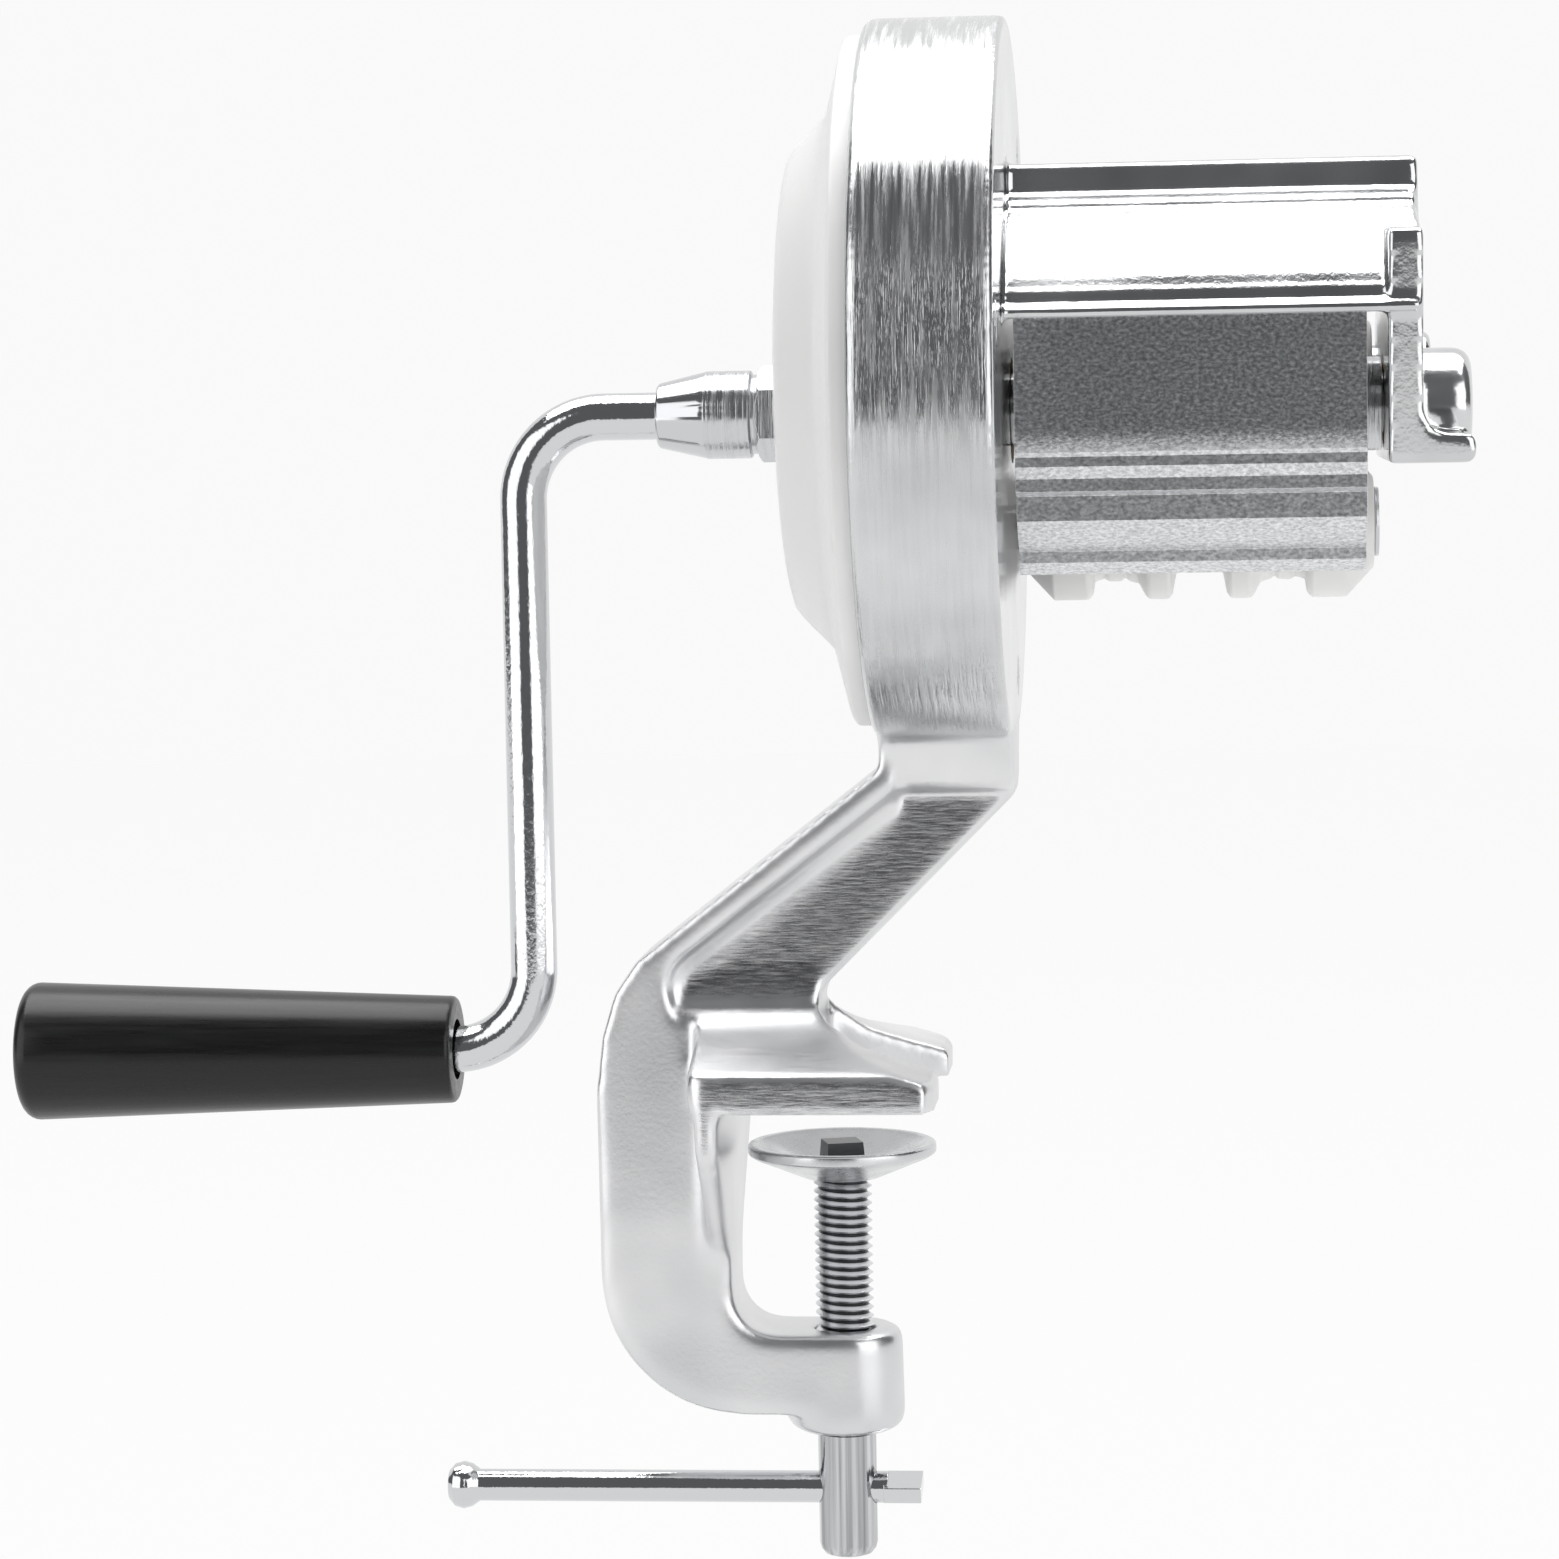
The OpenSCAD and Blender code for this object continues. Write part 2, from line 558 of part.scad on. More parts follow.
module gear_cover() {
    x0 = house_x0 - cover_rim;
    lip_r = house_in - 0.25;
    outer = cover_line(0);
    inner = cover_line(cover_t);
    color("#eceae4") difference() {
        union() {
            at_x(0, house_y, house_z) rotate_extrude() polygon(concat(
                [[lip_r, house_x0 + 2]], [[lip_r, house_x0]], [[cover_r, house_x0]],
                corner(cover_r - 0.8, x0 + 0.8, 0.8, 0, -70), outer,
                [for (i = [len(inner) - 1:-1:0]) inner[i]],
                [[lip_r - 1.6, house_x0 - 0.4], [lip_r - 1.6, house_x0 + 2]]));
            for (a = screw_angles)
                rod_along(x0 - 0.2, house_x0, 3.6, screw_y(a), screw_z(a));
            rod_along(-7.5, -4, 9, 0, crank_z);
        }
        rod_along(-20, 0, shaft_r + free_gap, 0, crank_z);
        for (a = screw_angles) {
            rod_along(x0 + 1.6, house_x0 + 3, 1.25 + fixed_fit, screw_y(a), screw_z(a));
            rod_along(house_x0, house_x0 + 3, 4 + free_gap, screw_y(a), screw_z(a));
        }
    }
}

module cover_screw(a) {
    color("#8d9094") translate([0, screw_y(a), screw_z(a)])
        difference() {
            union() {
                rod_along(house_x0 - 1.4, house_x1 - 1, 1.25);
                at_x(house_x1 - 1.85) cylinder(r1 = 1.25, r2 = 3.2, h = 1.75);
            }
            for (t = [0, 90])
                translate([house_x1 - 0.9, 0, 0]) rotate([t, 0, 0]) translate([0, -0.4, -1.7])
                    cube([2, 0.8, 3.4]);
        }
}

// Outer line of the plate below level: angle and depth below the full radius.
ridges = [[0, 0], [4, 0], [8.4, 0], [9.9, 0.4], [13.3, 0], [17, 0.6], [18, 0.8], [22.2, 0], [25, 1.7],
    [26, 2.1], [33.7, 0], [36, 0.4], [44, 1.1], [51, 1.6], [52.4, 1.7], [55, 0.2], [57, 0.3]];

module forming_plate() {
    line = concat([for (p = ridges) (plate_r - p[1]) * [-cos(p[0]), -sin(p[0])]],
        [(plate_r - 0.4) * [-cos(plate_wrap), -sin(plate_wrap)]]);
    color("#b9bcbf") difference() {
        yz_plate(plate_x0, plate_x1 - plate_x0) difference() {
            union() {
                translate([0, plate_z]) polygon(concat([[0, 0]], line));
                translate([-plate_r, plate_z]) square([plate_r, plate_top - plate_z]);
            }
            translate([0, plate_z]) circle(r = plate_in, $fn = 144);
            translate([-plate_in, plate_z]) square([60, 60]);
        }
        for (x = plate_screw_x)
            translate([x, 0, plate_screw_z]) rotate([90, 0, 0])
                cylinder(r = plate_screw_r + 0.2, h = plate_r + 20);
    }
}

module plate_screw(x) {
    color("#8d9094") translate([x, -plate_in, plate_screw_z]) rotate([90, 0, 0]) difference() {
        union() {
            cylinder(r = plate_screw_r, h = plate_t + plate_screw_in);
            translate([0, 0, -1.8]) cylinder(r = plate_screw_r + 1.1, h = 1.8);
        }
        translate([-0.35, -1.7, -2.5]) cube([0.7, 3.4, 1.5]);
        translate([-1.7, -0.35, -2.5]) cube([3.4, 0.7, 1.5]);
    }
}

module flanged_bush(r_in, r_out, r_flange, y, z) {
    color("#d8c39a") difference() {
        union() {
            rod_along(wall_x, house_x1, r_out, y, z);
            rod_along(wall_x - bush_flange, wall_x, r_flange, y, z);
        }
        rod_along(wall_x - 5, house_x1 + 5, r_in, y, z);
    }
}

module main_bush() {
    flanged_bush(shaft_r + run_fit, main_bush_r, main_flange_r, 0, crank_z);
}

module upper_bush() {
    flanged_bush(roller_shaft_r + run_fit, roller_bush_r, roller_flange_r, upper_y, upper_z);
}

module lower_bush() {
    flanged_bush(roller_shaft_r + run_fit, roller_bush_r, roller_flange_r, lower_y, lower_z);
}

module front_bush() {
    color("#d8c39a") tube_x(end_x0, boss_x1 - 2, front_bush_r, journal_r + run_fit, 0, crank_z);
}

module main_shaft() {
    color("#9ea2a6") {
        rod_along(shoulder_x, collar_x + 2.5, shaft_r, 0, crank_z);
        rod_along(collar_x + 2, boss_x1 - 2.4, journal_r, 0, crank_z);
        rod_along(-stud_end, shoulder_x + 0.5, stud_r, 0, crank_z);
    }
}

module crank_gear() {
    color("#e9e6dc") difference() {
        union() {
            gear_x(drive_x, gear_w, crank_teeth, shaft_r - 1, 0, crank_z, upper_angle);
            rod_along(drive_x + 1, wall_x - bush_flange - 0.2, shaft_r + 3.5, 0, crank_z);
        }
        rod_along(drive_x - 1, wall_x, shaft_r + fixed_fit, 0, crank_z);
    }
}

module cutter() {
    x0 = house_x1 + free_gap + 0.6;
    x1 = collar_x;
    color("#f1efe9") difference() {
        union() {
            rod_along(x0, x1, cutter_hub_r, 0, crank_z);
            for (k = [0:blades - 1])
                translate([0, 0, crank_z]) rotate([45 + 360 * k / blades, 0, 0]) {
                    translate([x0 + 1.5, 0, -blade_t / 2])
                        cube([x1 - x0 - 3, cutter_r - blade_t / 2, blade_t]);
                    rod_along(x0 + 1.5, x1 - 1.5, blade_t / 2, cutter_r - blade_t / 2, 0);
                }
        }
        rod_along(x0 - 1, x1 + 1, shaft_r + fixed_fit, 0, crank_z);
    }
}

module thrust_collar() {
    color("#a9adb1") tube_x(collar_x, end_x0 - 0.3, collar_r, shaft_r + fixed_fit, 0, crank_z);
}

module crank_locknut() {
    x0 = shoulder_x - nut_t;
    color("#b4b7ba") at_x(x0, 0, crank_z) difference() {
        intersection() {
            cylinder(r = nut_af / sqrt(3), h = nut_t, $fn = 6);
            union() {
                cylinder(r1 = nut_af / 2 + 0.2, r2 = nut_af / 2 + 1.4, h = 0.8);
                translate([0, 0, 0.8]) cylinder(r = nut_af / 2 + 1.4, h = nut_t);
            }
        }
        translate([0, 0, -1]) cylinder(r = stud_r + fixed_fit, h = nut_t + 2);
    }
}

module crank_ferrule() {
    right = -shoulder_x + nut_t;
    len = ferrule_x0 - right;
    cone = ferrule_x0 - ferrule_x1;
    color("#b4b7ba") at_x(-ferrule_x0, 0, crank_z) rotate_extrude() polygon(concat(
        [[stud_r + fixed_fit, 0], [ferrule_r0 - 0.4, 0], [ferrule_r0, 0.4], [ferrule_r, cone],
        [ferrule_r, len - 1.3], [ferrule_r - 0.7, len - 1], [ferrule_r - 0.7, len],
        [stud_r + fixed_fit, len]]));
}

module crank_rod() {
    low = -rod_x - bend_lower;
    color("#c4c7ca") {
        rod_along(-rod_x + bend_upper, -stud_end, rod_r, 0, crank_z);
        translate([-rod_x + bend_upper, 0, crank_z - bend_upper]) rotate([90, 0, 0]) rotate(90)
            rotate_extrude(angle = 90) translate([bend_upper, 0]) circle(r = rod_r);
        translate([-rod_x, 0, grip_z + bend_lower])
            cylinder(r = rod_r, h = crank_throw - bend_upper - bend_lower);
        translate([low, 0, grip_z + bend_lower]) rotate([90, 0, 0]) rotate(-90)
            rotate_extrude(angle = 90) translate([bend_lower, 0]) circle(r = rod_r);
        rod_along(-rod_end, low, rod_r, 0, grip_z);
    }
}

module grip_rivet() {
    color("#c4c7ca") at_x(-rod_end - 1.8, 0, grip_z) rotate_extrude() polygon(concat(
        [[0, 0], [3, 0]], corner(4.6, 1.2, 1.2, -60, 0, 3), [[5.8, 1.8], [0, 1.8]]));
}

module crank_grip() {
    len = grip_x0 - grip_x1;
    bore = rod_r + loose_fit;
    color("#17181a") at_x(-grip_x0, 0, grip_z) rotate_extrude() polygon(concat(
        [[6.4, 0.6], [7, 0]], corner(grip_r0 - 2.6, 2.6, 2.6, -80, 0, 6),
        corner(grip_r1 - 0.9, len - 0.9, 0.9, 0, 90, 3),
        [[rod_r + 1.2, len], [rod_r + 1.2, len - 3], [bore, len - 4], [bore, 2.9], [6.4, 2.9]]));
}

function roller_line() =
    let (h = roller_len / 2, g = roller_r - roller_ridged, d = roller_r - roller_groove)
    [[-h, roller_r - 5.2], [-h + 4.8, roller_r], [-19.4, roller_r], [-18.5, roller_r - 1],
    [-18.2, g], [-16.5, g - 0.5], [-15.8, g], [-13.6, g], [-12.9, g - 0.7], [-12.2, g], [-11, g + 0.3],
    [-10.6, g + 0.3], [-9.3, roller_r - 0.5], [-8.6, roller_r], [-5.4, roller_r], [-4.7, roller_r - 1],
    [-4, d], [4, d], [4.7, roller_r - 1], [5.4, roller_r], [8.6, roller_r], [9.3, roller_r - 0.5],
    [10.6, g + 0.3], [11, g + 0.3], [12.2, g], [12.9, g - 0.7], [13.6, g], [15.8, g], [16.5, g - 0.5],
    [18.2, g], [18.5, roller_r - 1], [19.4, roller_r], [h - 4.8, roller_r], [h, roller_r - 5.2]];

module feed_roller(y, z) {
    pts = roller_line();
    bore = roller_shaft_r + fixed_fit;
    color("#f4f3ef") at_x((roller_x0 + roller_x1) / 2, y, z) rotate_extrude() polygon(concat(
        [[bore, -roller_len / 2]], [for (p = pts) [p[1], p[0]]], [[bore, roller_len / 2]]));
}

module upper_roller() {
    feed_roller(upper_y, upper_z);
}

module lower_roller() {
    feed_roller(lower_y, lower_z);
}

module upper_shaft() {
    color("#9ea2a6") rod_along(drive_x - 1.5, end_x1 + small_boss_len - 2, roller_shaft_r, upper_y, upper_z);
}

module lower_shaft() {
    color("#9ea2a6") rod_along(pair_x - 1.5, roller_x1, roller_shaft_r, lower_y, lower_z);
}

module upper_gear() {
    color("#e9e6dc") gear_x(drive_x, gear_w, upper_teeth, roller_shaft_r + fixed_fit,
        upper_y, upper_z, upper_angle + 180 + 180 / upper_teeth);
}

pair_turn = atan2(lower_z - upper_z, lower_y - upper_y);

module upper_pair_gear() {
    color("#e9e6dc") gear_x(pair_x, gear_w, pair_teeth, roller_shaft_r + fixed_fit,
        upper_y, upper_z, pair_turn);
}

module lower_pair_gear() {
    color("#e9e6dc") gear_x(pair_x, gear_w, pair_teeth, roller_shaft_r + fixed_fit,
        lower_y, lower_z, pair_turn + 180 + 180 / pair_teeth);
}

module lower_retainer() {
    color("#a9adb1") rod_along(roller_x1, roller_x1 + 0.9, roller_shaft_r + 2, lower_y, lower_z);
}

module clamp_pad() {
    hole = 3.1;
    color("#a7a9aa") translate([0, 0, -pad_gap]) rotate_extrude() polygon([[hole, 2.6 - pad_depth],
        [hole, -pad_depth], [pad_hub_r, -pad_depth], [pad_r - 0.9, -2.3], [pad_r, -1.7], [pad_r, -0.3],
        [pad_r - 0.4, 0], [pad_r - 1.6, 0], [pad_r - 2.2, -0.5], [pad_hub_r, 2.6 - pad_depth]]);
}

module clamp_spindle() {
    top = pad_gap + pad_depth + 0.2;
    shank = nut_bottom + shank_gap;
    turns = floor((shank - top - 1.2) / thread_pitch);
    color("#3b3c3f") difference() {
        union() {
            rotate_extrude() polygon(concat(
                [[0, -pad_gap + 0.2], [3.4, -pad_gap + 0.2], [4, -pad_gap - 0.4], [4.3, -pad_gap - 3.3],
                [2.9, -pad_gap - 3.3], [2.9, -top], [thread_root, -top]],
                [for (i = [0:turns - 1]) for (j = [0:3])
                    let (z = -top - 1 - thread_pitch * i)
                    [j == 0 || j == 3 ? thread_root : spindle_r,
                    z - thread_pitch * [0, 0.38, 0.5, 0.88][j]]],
                [[thread_root, -shank], [spindle_r - 0.3, -shank], [spindle_r, -shank - 0.3],
                [spindle_r, -spindle_end + 1.6],
                [spindle_r - 0.5, -spindle_end + 0.6], [spindle_r - 1.6, -spindle_end], [0, -spindle_end]]));
        }
        rod_along(-20, 20, bar_r + loose_fit, 0, -bar_z);
    }
}

module cross_bar() {
    color("#6f7275") {
        rod_along(-bar_left + 4, 7, bar_r, 0, -bar_z);
        at_x(-bar_left, 0, -bar_z) rotate_extrude() polygon([[0, 0], [2.6, 0.3], [3.7, 1.3],
            [bar_head_r, 2.8], [3.7, 4.3], [bar_r, 5.6], [0, 5.6]]);
        translate([6.4, 0, -bar_z]) rotate([12, 0, 0]) translate([0, -3.6, -1.4])
            cube([bar_right - 6.4, 7.2, 2.8]);
    }
}

body_casting();
gear_cover();
cover_screw(screw_angles[0]);  // cover_screw_a
cover_screw(screw_angles[1]);  // cover_screw_b
cover_screw(screw_angles[2]);  // cover_screw_c
forming_plate();
plate_screw(plate_screw_x[0]);  // plate_screw_left
plate_screw(plate_screw_x[1]);  // plate_screw_right
main_bush();
upper_bush();
lower_bush();
front_bush();
main_shaft();
crank_gear();
cutter();
thrust_collar();
crank_locknut();
crank_ferrule();
crank_rod();
grip_rivet();
crank_grip();
upper_roller();
upper_shaft();
upper_gear();
upper_pair_gear();
lower_roller();
lower_shaft();
lower_pair_gear();
lower_retainer();
clamp_pad();
clamp_spindle();
cross_bar();
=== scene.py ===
"""Clamp-on cavatelli maker, dressed for a studio picture."""
import json
import math

import bmesh
import bpy
import numpy as np
from mathutils import Matrix, Vector


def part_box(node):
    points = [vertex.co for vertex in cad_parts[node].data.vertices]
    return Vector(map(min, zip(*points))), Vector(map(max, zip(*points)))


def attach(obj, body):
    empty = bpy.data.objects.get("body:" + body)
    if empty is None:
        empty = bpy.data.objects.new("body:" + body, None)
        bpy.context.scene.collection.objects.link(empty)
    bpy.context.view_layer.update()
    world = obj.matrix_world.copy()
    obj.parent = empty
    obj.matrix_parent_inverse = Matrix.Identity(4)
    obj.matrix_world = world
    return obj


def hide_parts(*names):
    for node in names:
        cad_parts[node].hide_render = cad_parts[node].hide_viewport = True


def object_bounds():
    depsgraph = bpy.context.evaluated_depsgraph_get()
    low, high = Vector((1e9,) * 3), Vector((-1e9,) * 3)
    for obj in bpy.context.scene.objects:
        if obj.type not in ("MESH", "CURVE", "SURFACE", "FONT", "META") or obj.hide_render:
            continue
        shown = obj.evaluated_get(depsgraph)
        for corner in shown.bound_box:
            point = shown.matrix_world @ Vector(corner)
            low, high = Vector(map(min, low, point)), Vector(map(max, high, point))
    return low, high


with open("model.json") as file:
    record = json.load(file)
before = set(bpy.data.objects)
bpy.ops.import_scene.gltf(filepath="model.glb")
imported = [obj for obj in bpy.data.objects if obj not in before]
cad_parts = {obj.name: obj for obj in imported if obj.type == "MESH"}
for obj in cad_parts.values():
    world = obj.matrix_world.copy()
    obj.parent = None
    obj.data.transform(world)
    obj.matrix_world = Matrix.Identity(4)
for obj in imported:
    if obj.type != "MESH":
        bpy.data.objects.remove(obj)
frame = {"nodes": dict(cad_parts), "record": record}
CAD_BOX = [list(map(float, corner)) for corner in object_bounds()]
MM = 0.001

# Where the casting's dressing finds its parts, in metres.
ARM_RISE = (0.004, 0.062)        # the arm in Z, from the jaw to the housing
ARM_ROOT = (0.070, 0.018)        # the arm's root on the wall: its height, and half its width
WALL_SPAN = (0.0096, 0.0292)     # the straight part of the housing's wall in X
JAW_SPAN = (-0.0165, 0.016)      # the jaw's flat underside in X
SPINE_FRONT = -0.0175            # the clamp's spine lies behind this X
CLAMP_FOOT = -0.036              # the clamp's foot lies below this Z
BOSS_BORE = 0.008                # kept sharp round the spindle's bore, as a radius
FADE_TOP, FADE_DEEP = 0.012, 0.024   # the clamp's rounding fades in downwards from this Z over this depth
WEB_OUT = (0.005, 0.0088)        # the arm's web in Y, from its inside to its face
WEB_RISE = (0.012, 0.053)        # the arm's web in Z
WEB_PIVOT = 0.033                # the web leans about this Z
WEB_FADE = (0.001, 0.002)        # the lean fades out over these depths, inside and at the face
FACE_REACH, JAW_REACH = 0.0006, 0.0005   # how far smoothing moves a face that is put back
RIM = 0.002                      # the front's rounded rim, left as smoothed
FLAT_FACING = 0.97               # least X of the normal on the flat front
RIDGES_TOP = (0.1096, 0.1078)    # the forming plate's ridges in Z: where their finish starts, and is full

CASTING_BEND, ROD_BEND, THREAD_BEND = 40, 40, 34   # degrees above which an edge stays sharp
THREAD_DEEP, THREAD_WIDE = 0.6, 0.86   # the thread's depth and width, in pitches

# The studio, in metres.
FLOOR = -0.14
PAPER_HALF, PAPER_BACK, PAPER_TOP = 4, 2.5, 4
LEFT_TRIM, RIGHT_TRIM = 1.09, 1.2   # each panel's share of the set power

bl_info = {
    "name": "Cavatelli Maker",
    "version": (1, 0, 0),
    "blender": (4, 5, 0),
    "location": "3D View > Sidebar > Cavatelli",
    "description": "Builds the dressed pieces of a clamp-on cavatelli maker and its studio",
    "category": "Object",
}


def linear(code):
    """Turns an sRGB hex colour such as #C9CACC into linear RGBA."""
    parts = [int(code[i:i + 2], 16) / 255 for i in (1, 3, 5)]
    return tuple(p / 12.92 if p <= 0.04045 else ((p + 0.055) / 1.055) ** 2.4 for p in parts) + (1.0,)


def add(tree, kind, links=None, **settings):
    """Adds a node with its settings, and sets or links its inputs by name or number.

    A node given as a value is linked by its first output in use.
    """
    item = tree.nodes.new(kind)
    for key, value in settings.items():
        setattr(item, key, value)
    for key, value in (links or {}).items():
        if isinstance(value, bpy.types.Node):
            value = next(socket for socket in value.outputs if socket.enabled)
        if isinstance(value, bpy.types.NodeSocket):
            tree.links.new(value, item.inputs[key])
        else:
            item.inputs[key].default_value = value
    return item


def shader(name, color, metallic, roughness, **sockets):
    """A Principled material with its constant values on the shader's own sockets."""
    mat = bpy.data.materials.new(name)
    mat.use_nodes = True
    tree = mat.node_tree
    tree.nodes.clear()
    values = {"Base Color": linear(color), "Metallic": metallic, "Roughness": roughness}
    values.update({key.replace("_", " "): value for key, value in sockets.items()})
    bsdf = add(tree, "ShaderNodeBsdfPrincipled", values)
    add(tree, "ShaderNodeOutputMaterial", {"Surface": bsdf})
    coord = add(tree, "ShaderNodeTexCoord").outputs["Object"]
    return mat, tree, bsdf, coord


def streaks(tree, coord, stretch, detail=3.0, turn=(0, 0, 0)):
    """Noise stretched into streaks, from 0 to 1: stretch gives the cells per metre along X, Y and Z."""
    spot = add(tree, "ShaderNodeMapping", {"Vector": coord, "Scale": stretch, "Rotation": turn})
    noise = add(tree, "ShaderNodeTexNoise", {"Vector": spot, "Scale": 1.0, "Detail": detail, "Roughness": 0.6})
    return add(tree, "ShaderNodeMapRange", {"Value": noise, "From Min": 0.3, "From Max": 0.7})


def mask(tree, *steps):
    """Multiplies smooth steps, each a value with the sizes at which it reaches 0 and 1."""
    whole = 1.0
    for value, nought, one in steps:
        step = add(tree, "ShaderNodeMapRange", {"Value": value, "From Min": nought, "From Max": one},
                   interpolation_type="SMOOTHSTEP")
        whole = add(tree, "ShaderNodeMath", {0: whole, 1: step}, operation="MULTIPLY")
    return whole


def drive(tree, bsdf, nodes):
    """Links nodes to the shader's sockets that they are named for."""
    for key, node in nodes.items():
        tree.links.new(next(socket for socket in node.outputs if socket.enabled), bsdf.inputs[key])
    return nodes


def wear(tree, bsdf, marks, depth, rough, tones=None):
    """Lets marks from 0 to 1 drive the relief, whose depth is in metres, the roughness and the tone."""
    low, high = rough
    nodes = {
        "Normal": add(tree, "ShaderNodeBump", {"Height": marks, "Strength": 1.0, "Distance": depth}),
        "Roughness": add(tree, "ShaderNodeMapRange", {"Value": marks, "To Min": low, "To Max": high}),
    }
    if tones:
        dark, light = map(linear, tones)
        nodes["Base Color"] = add(tree, "ShaderNodeMix", {0: marks, 6: dark, 7: light}, data_type="RGBA")
    return drive(tree, bsdf, nodes)


def cast_aluminium(sizes):
    # Die-cast aluminium: mirror buffed on the bridge, satin on the arm and the clamp, belt sanded round the
    # housing's wall, and scratched by hand sanding on the flat cheeks of the arm and the jaw. The belt's marks
    # are drawn about 0.7 mm wide so that they show. The arm and the clamp take a lighter tone that is painted
    # light, and the arm's web a darker tone that is painted shade.
    mat, tree, bsdf, coord = shader("die_cast_aluminium_buffed", "#CDCED0", 1.0, 0.2)
    place = add(tree, "ShaderNodeSeparateXYZ", {0: coord}).outputs
    normal = add(tree, "ShaderNodeNewGeometry").outputs["Normal"]
    facing = add(tree, "ShaderNodeSeparateXYZ", {0: normal}).outputs
    out = add(tree, "ShaderNodeVectorMath", {0: coord, 1: (0, 0, -sizes.housing_height)}, operation="ADD")
    out = add(tree, "ShaderNodeVectorMath", {0: out, 1: (0, 1, 1)}, operation="MULTIPLY")
    out = add(tree, "ShaderNodeVectorMath", {0: out}, operation="LENGTH")
    aside = add(tree, "ShaderNodeMath", {0: place["Y"]}, operation="ABSOLUTE")
    flat = add(tree, "ShaderNodeMath", {0: facing["Y"]}, operation="ABSOLUTE")
    # The zones of the finish, and of the painted light and shade in the tone: each limit is where the zone is nought,
    # then where it is full.
    radius, front = sizes.housing_radius, sizes.housing_front
    wall = mask(tree, (out, radius - 2.0 * MM, radius - 0.7 * MM), (place["X"], front + 0.4 * MM, front - 0.8 * MM),
                (place["X"], 0.0070, 0.0085), (place["Z"], 0.0615, 0.0630))
    # The arm's web: sanding scratches, and painted shade in a darker tone.
    web = mask(tree, (flat, 0.93, 0.99), (aside, 0.0090, 0.0080), (place["Z"], 0.0545, 0.0520),
               (place["Z"], 0.010, 0.0125))
    edge = mask(tree, (flat, 0.93, 0.99), (aside, 0.0275, 0.0285), (place["Z"], 0.020, 0.015))
    cheek = add(tree, "ShaderNodeMath", {0: web, 1: edge}, operation="ADD")
    jaw = mask(tree, (facing["Z"], 0.75, 0.88), (aside, 0.0085, 0.0110), (place["Z"], 0.030, 0.022),
               (place["Z"], 0.001, 0.003))
    # The arm and the clamp: satin, and painted light in a lighter tone.
    clamp = mask(tree, (place["Z"], 0.0640, 0.0600))
    belt = streaks(tree, coord, (1350, 65, 65), 4.0)
    rub = streaks(tree, coord, (260, 900, 2600), 5.0, (0, 0.10, 0))
    cloud = streaks(tree, coord, (45, 45, 45), 2.0)
    pits = streaks(tree, coord, (1300, 1300, 1300), 1.0)
    # The first of each list is the buffed finish; the rest go to the zones in turn.
    rough, *zones = [
        add(tree, "ShaderNodeMapRange", {"Value": marks, "To Min": low, "To Max": high})
        for marks, low, high in ((cloud, 0.10, 0.20), (cloud, 0.28, 0.36), (belt, 0.06, 0.40),
                                 (rub, 0.16, 0.34), (rub, 0.40, 0.55))]
    for zone, marks in zip((clamp, wall, cheek, jaw), zones):
        rough = add(tree, "ShaderNodeMix", {0: zone, 2: rough, 3: marks})
    # In the tones, the clamp's lighter pair is painted light and the web's darker pair is painted shade; the jaw
    # cheek's pair is the tone of its sanding scratches.
    tone, *zones = [
        add(tree, "ShaderNodeMix", {0: marks, 6: linear(dark), 7: linear(light)}, data_type="RGBA")
        for marks, dark, light in ((cloud, "#C6C7C8", "#DCDDDE"), (cloud, "#D6D7D8", "#EEEEEF"),
                                   (rub, "#8C8D8F", "#D8D8D9"), (rub, "#B4B5B7", "#F2F2F3"))]
    for zone, marks in zip((clamp, web, edge), zones):
        tone = add(tree, "ShaderNodeMix", {0: zone, 6: tone, 7: marks}, data_type="RGBA")
    relief, *zones = [
        add(tree, "ShaderNodeMath", {0: marks, 1: depth}, operation="MULTIPLY")
        for marks, depth in ((pits, 0.12), (belt, 1.2), (rub, 0.4))]
    for zone, marks in zip((wall, cheek), zones):
        relief = add(tree, "ShaderNodeMix", {0: zone, 2: relief, 3: marks})
    bump = add(tree, "ShaderNodeBump", {"Height": relief, "Strength": 1.0, "Distance": sizes.sanding})
    drive(tree, bsdf, {"Roughness": rough, "Base Color": tone, "Normal": bump})
    return mat


def plate_aluminium():
    # Extruded aluminium with a fine tumbled surface: satin with light speckle, duller on the ridges.
    mat, tree, bsdf, coord = shader("extruded_aluminium_tumbled", "#D2D4D6", 1.0, 0.24)
    speckle = streaks(tree, coord, (1300, 1900, 1900), 3.0)
    polished = wear(tree, bsdf, speckle, 0.000009, (0.17, 0.27), ("#B2B4B6", "#F8F9FA"))["Roughness"]
    dull = add(tree, "ShaderNodeMapRange", {"Value": speckle, "To Min": 0.28, "To Max": 0.36})
    height = add(tree, "ShaderNodeSeparateXYZ", {0: coord}).outputs["Z"]
    ridged = mask(tree, (height, *RIDGES_TOP))
    drive(tree, bsdf, {"Roughness": add(tree, "ShaderNodeMix", {0: ridged, 2: polished, 3: dull})})
    return mat


def white_moulding(name, color, rough, grain):
    """Injection-moulded plastic: even, with a faint orange-peel surface of grain cells per metre."""
    mat, tree, bsdf, coord = shader(name, color, 0.0, rough, IOR=1.5)
    wear(tree, bsdf, streaks(tree, coord, (grain, grain, grain), 2.0), 0.000005, (rough - 0.05, rough + 0.06))
    return mat


def worked_metal(name, color, rough, stretch, depth):
    """Plated, ground or sintered metal: stretch gives the cells per metre of its marks, depth their relief."""
    mat, tree, bsdf, coord = shader(name, color, 1.0, rough)
    wear(tree, bsdf, streaks(tree, coord, stretch), depth, (max(0.03, rough * 0.75), rough * 1.35))
    return mat


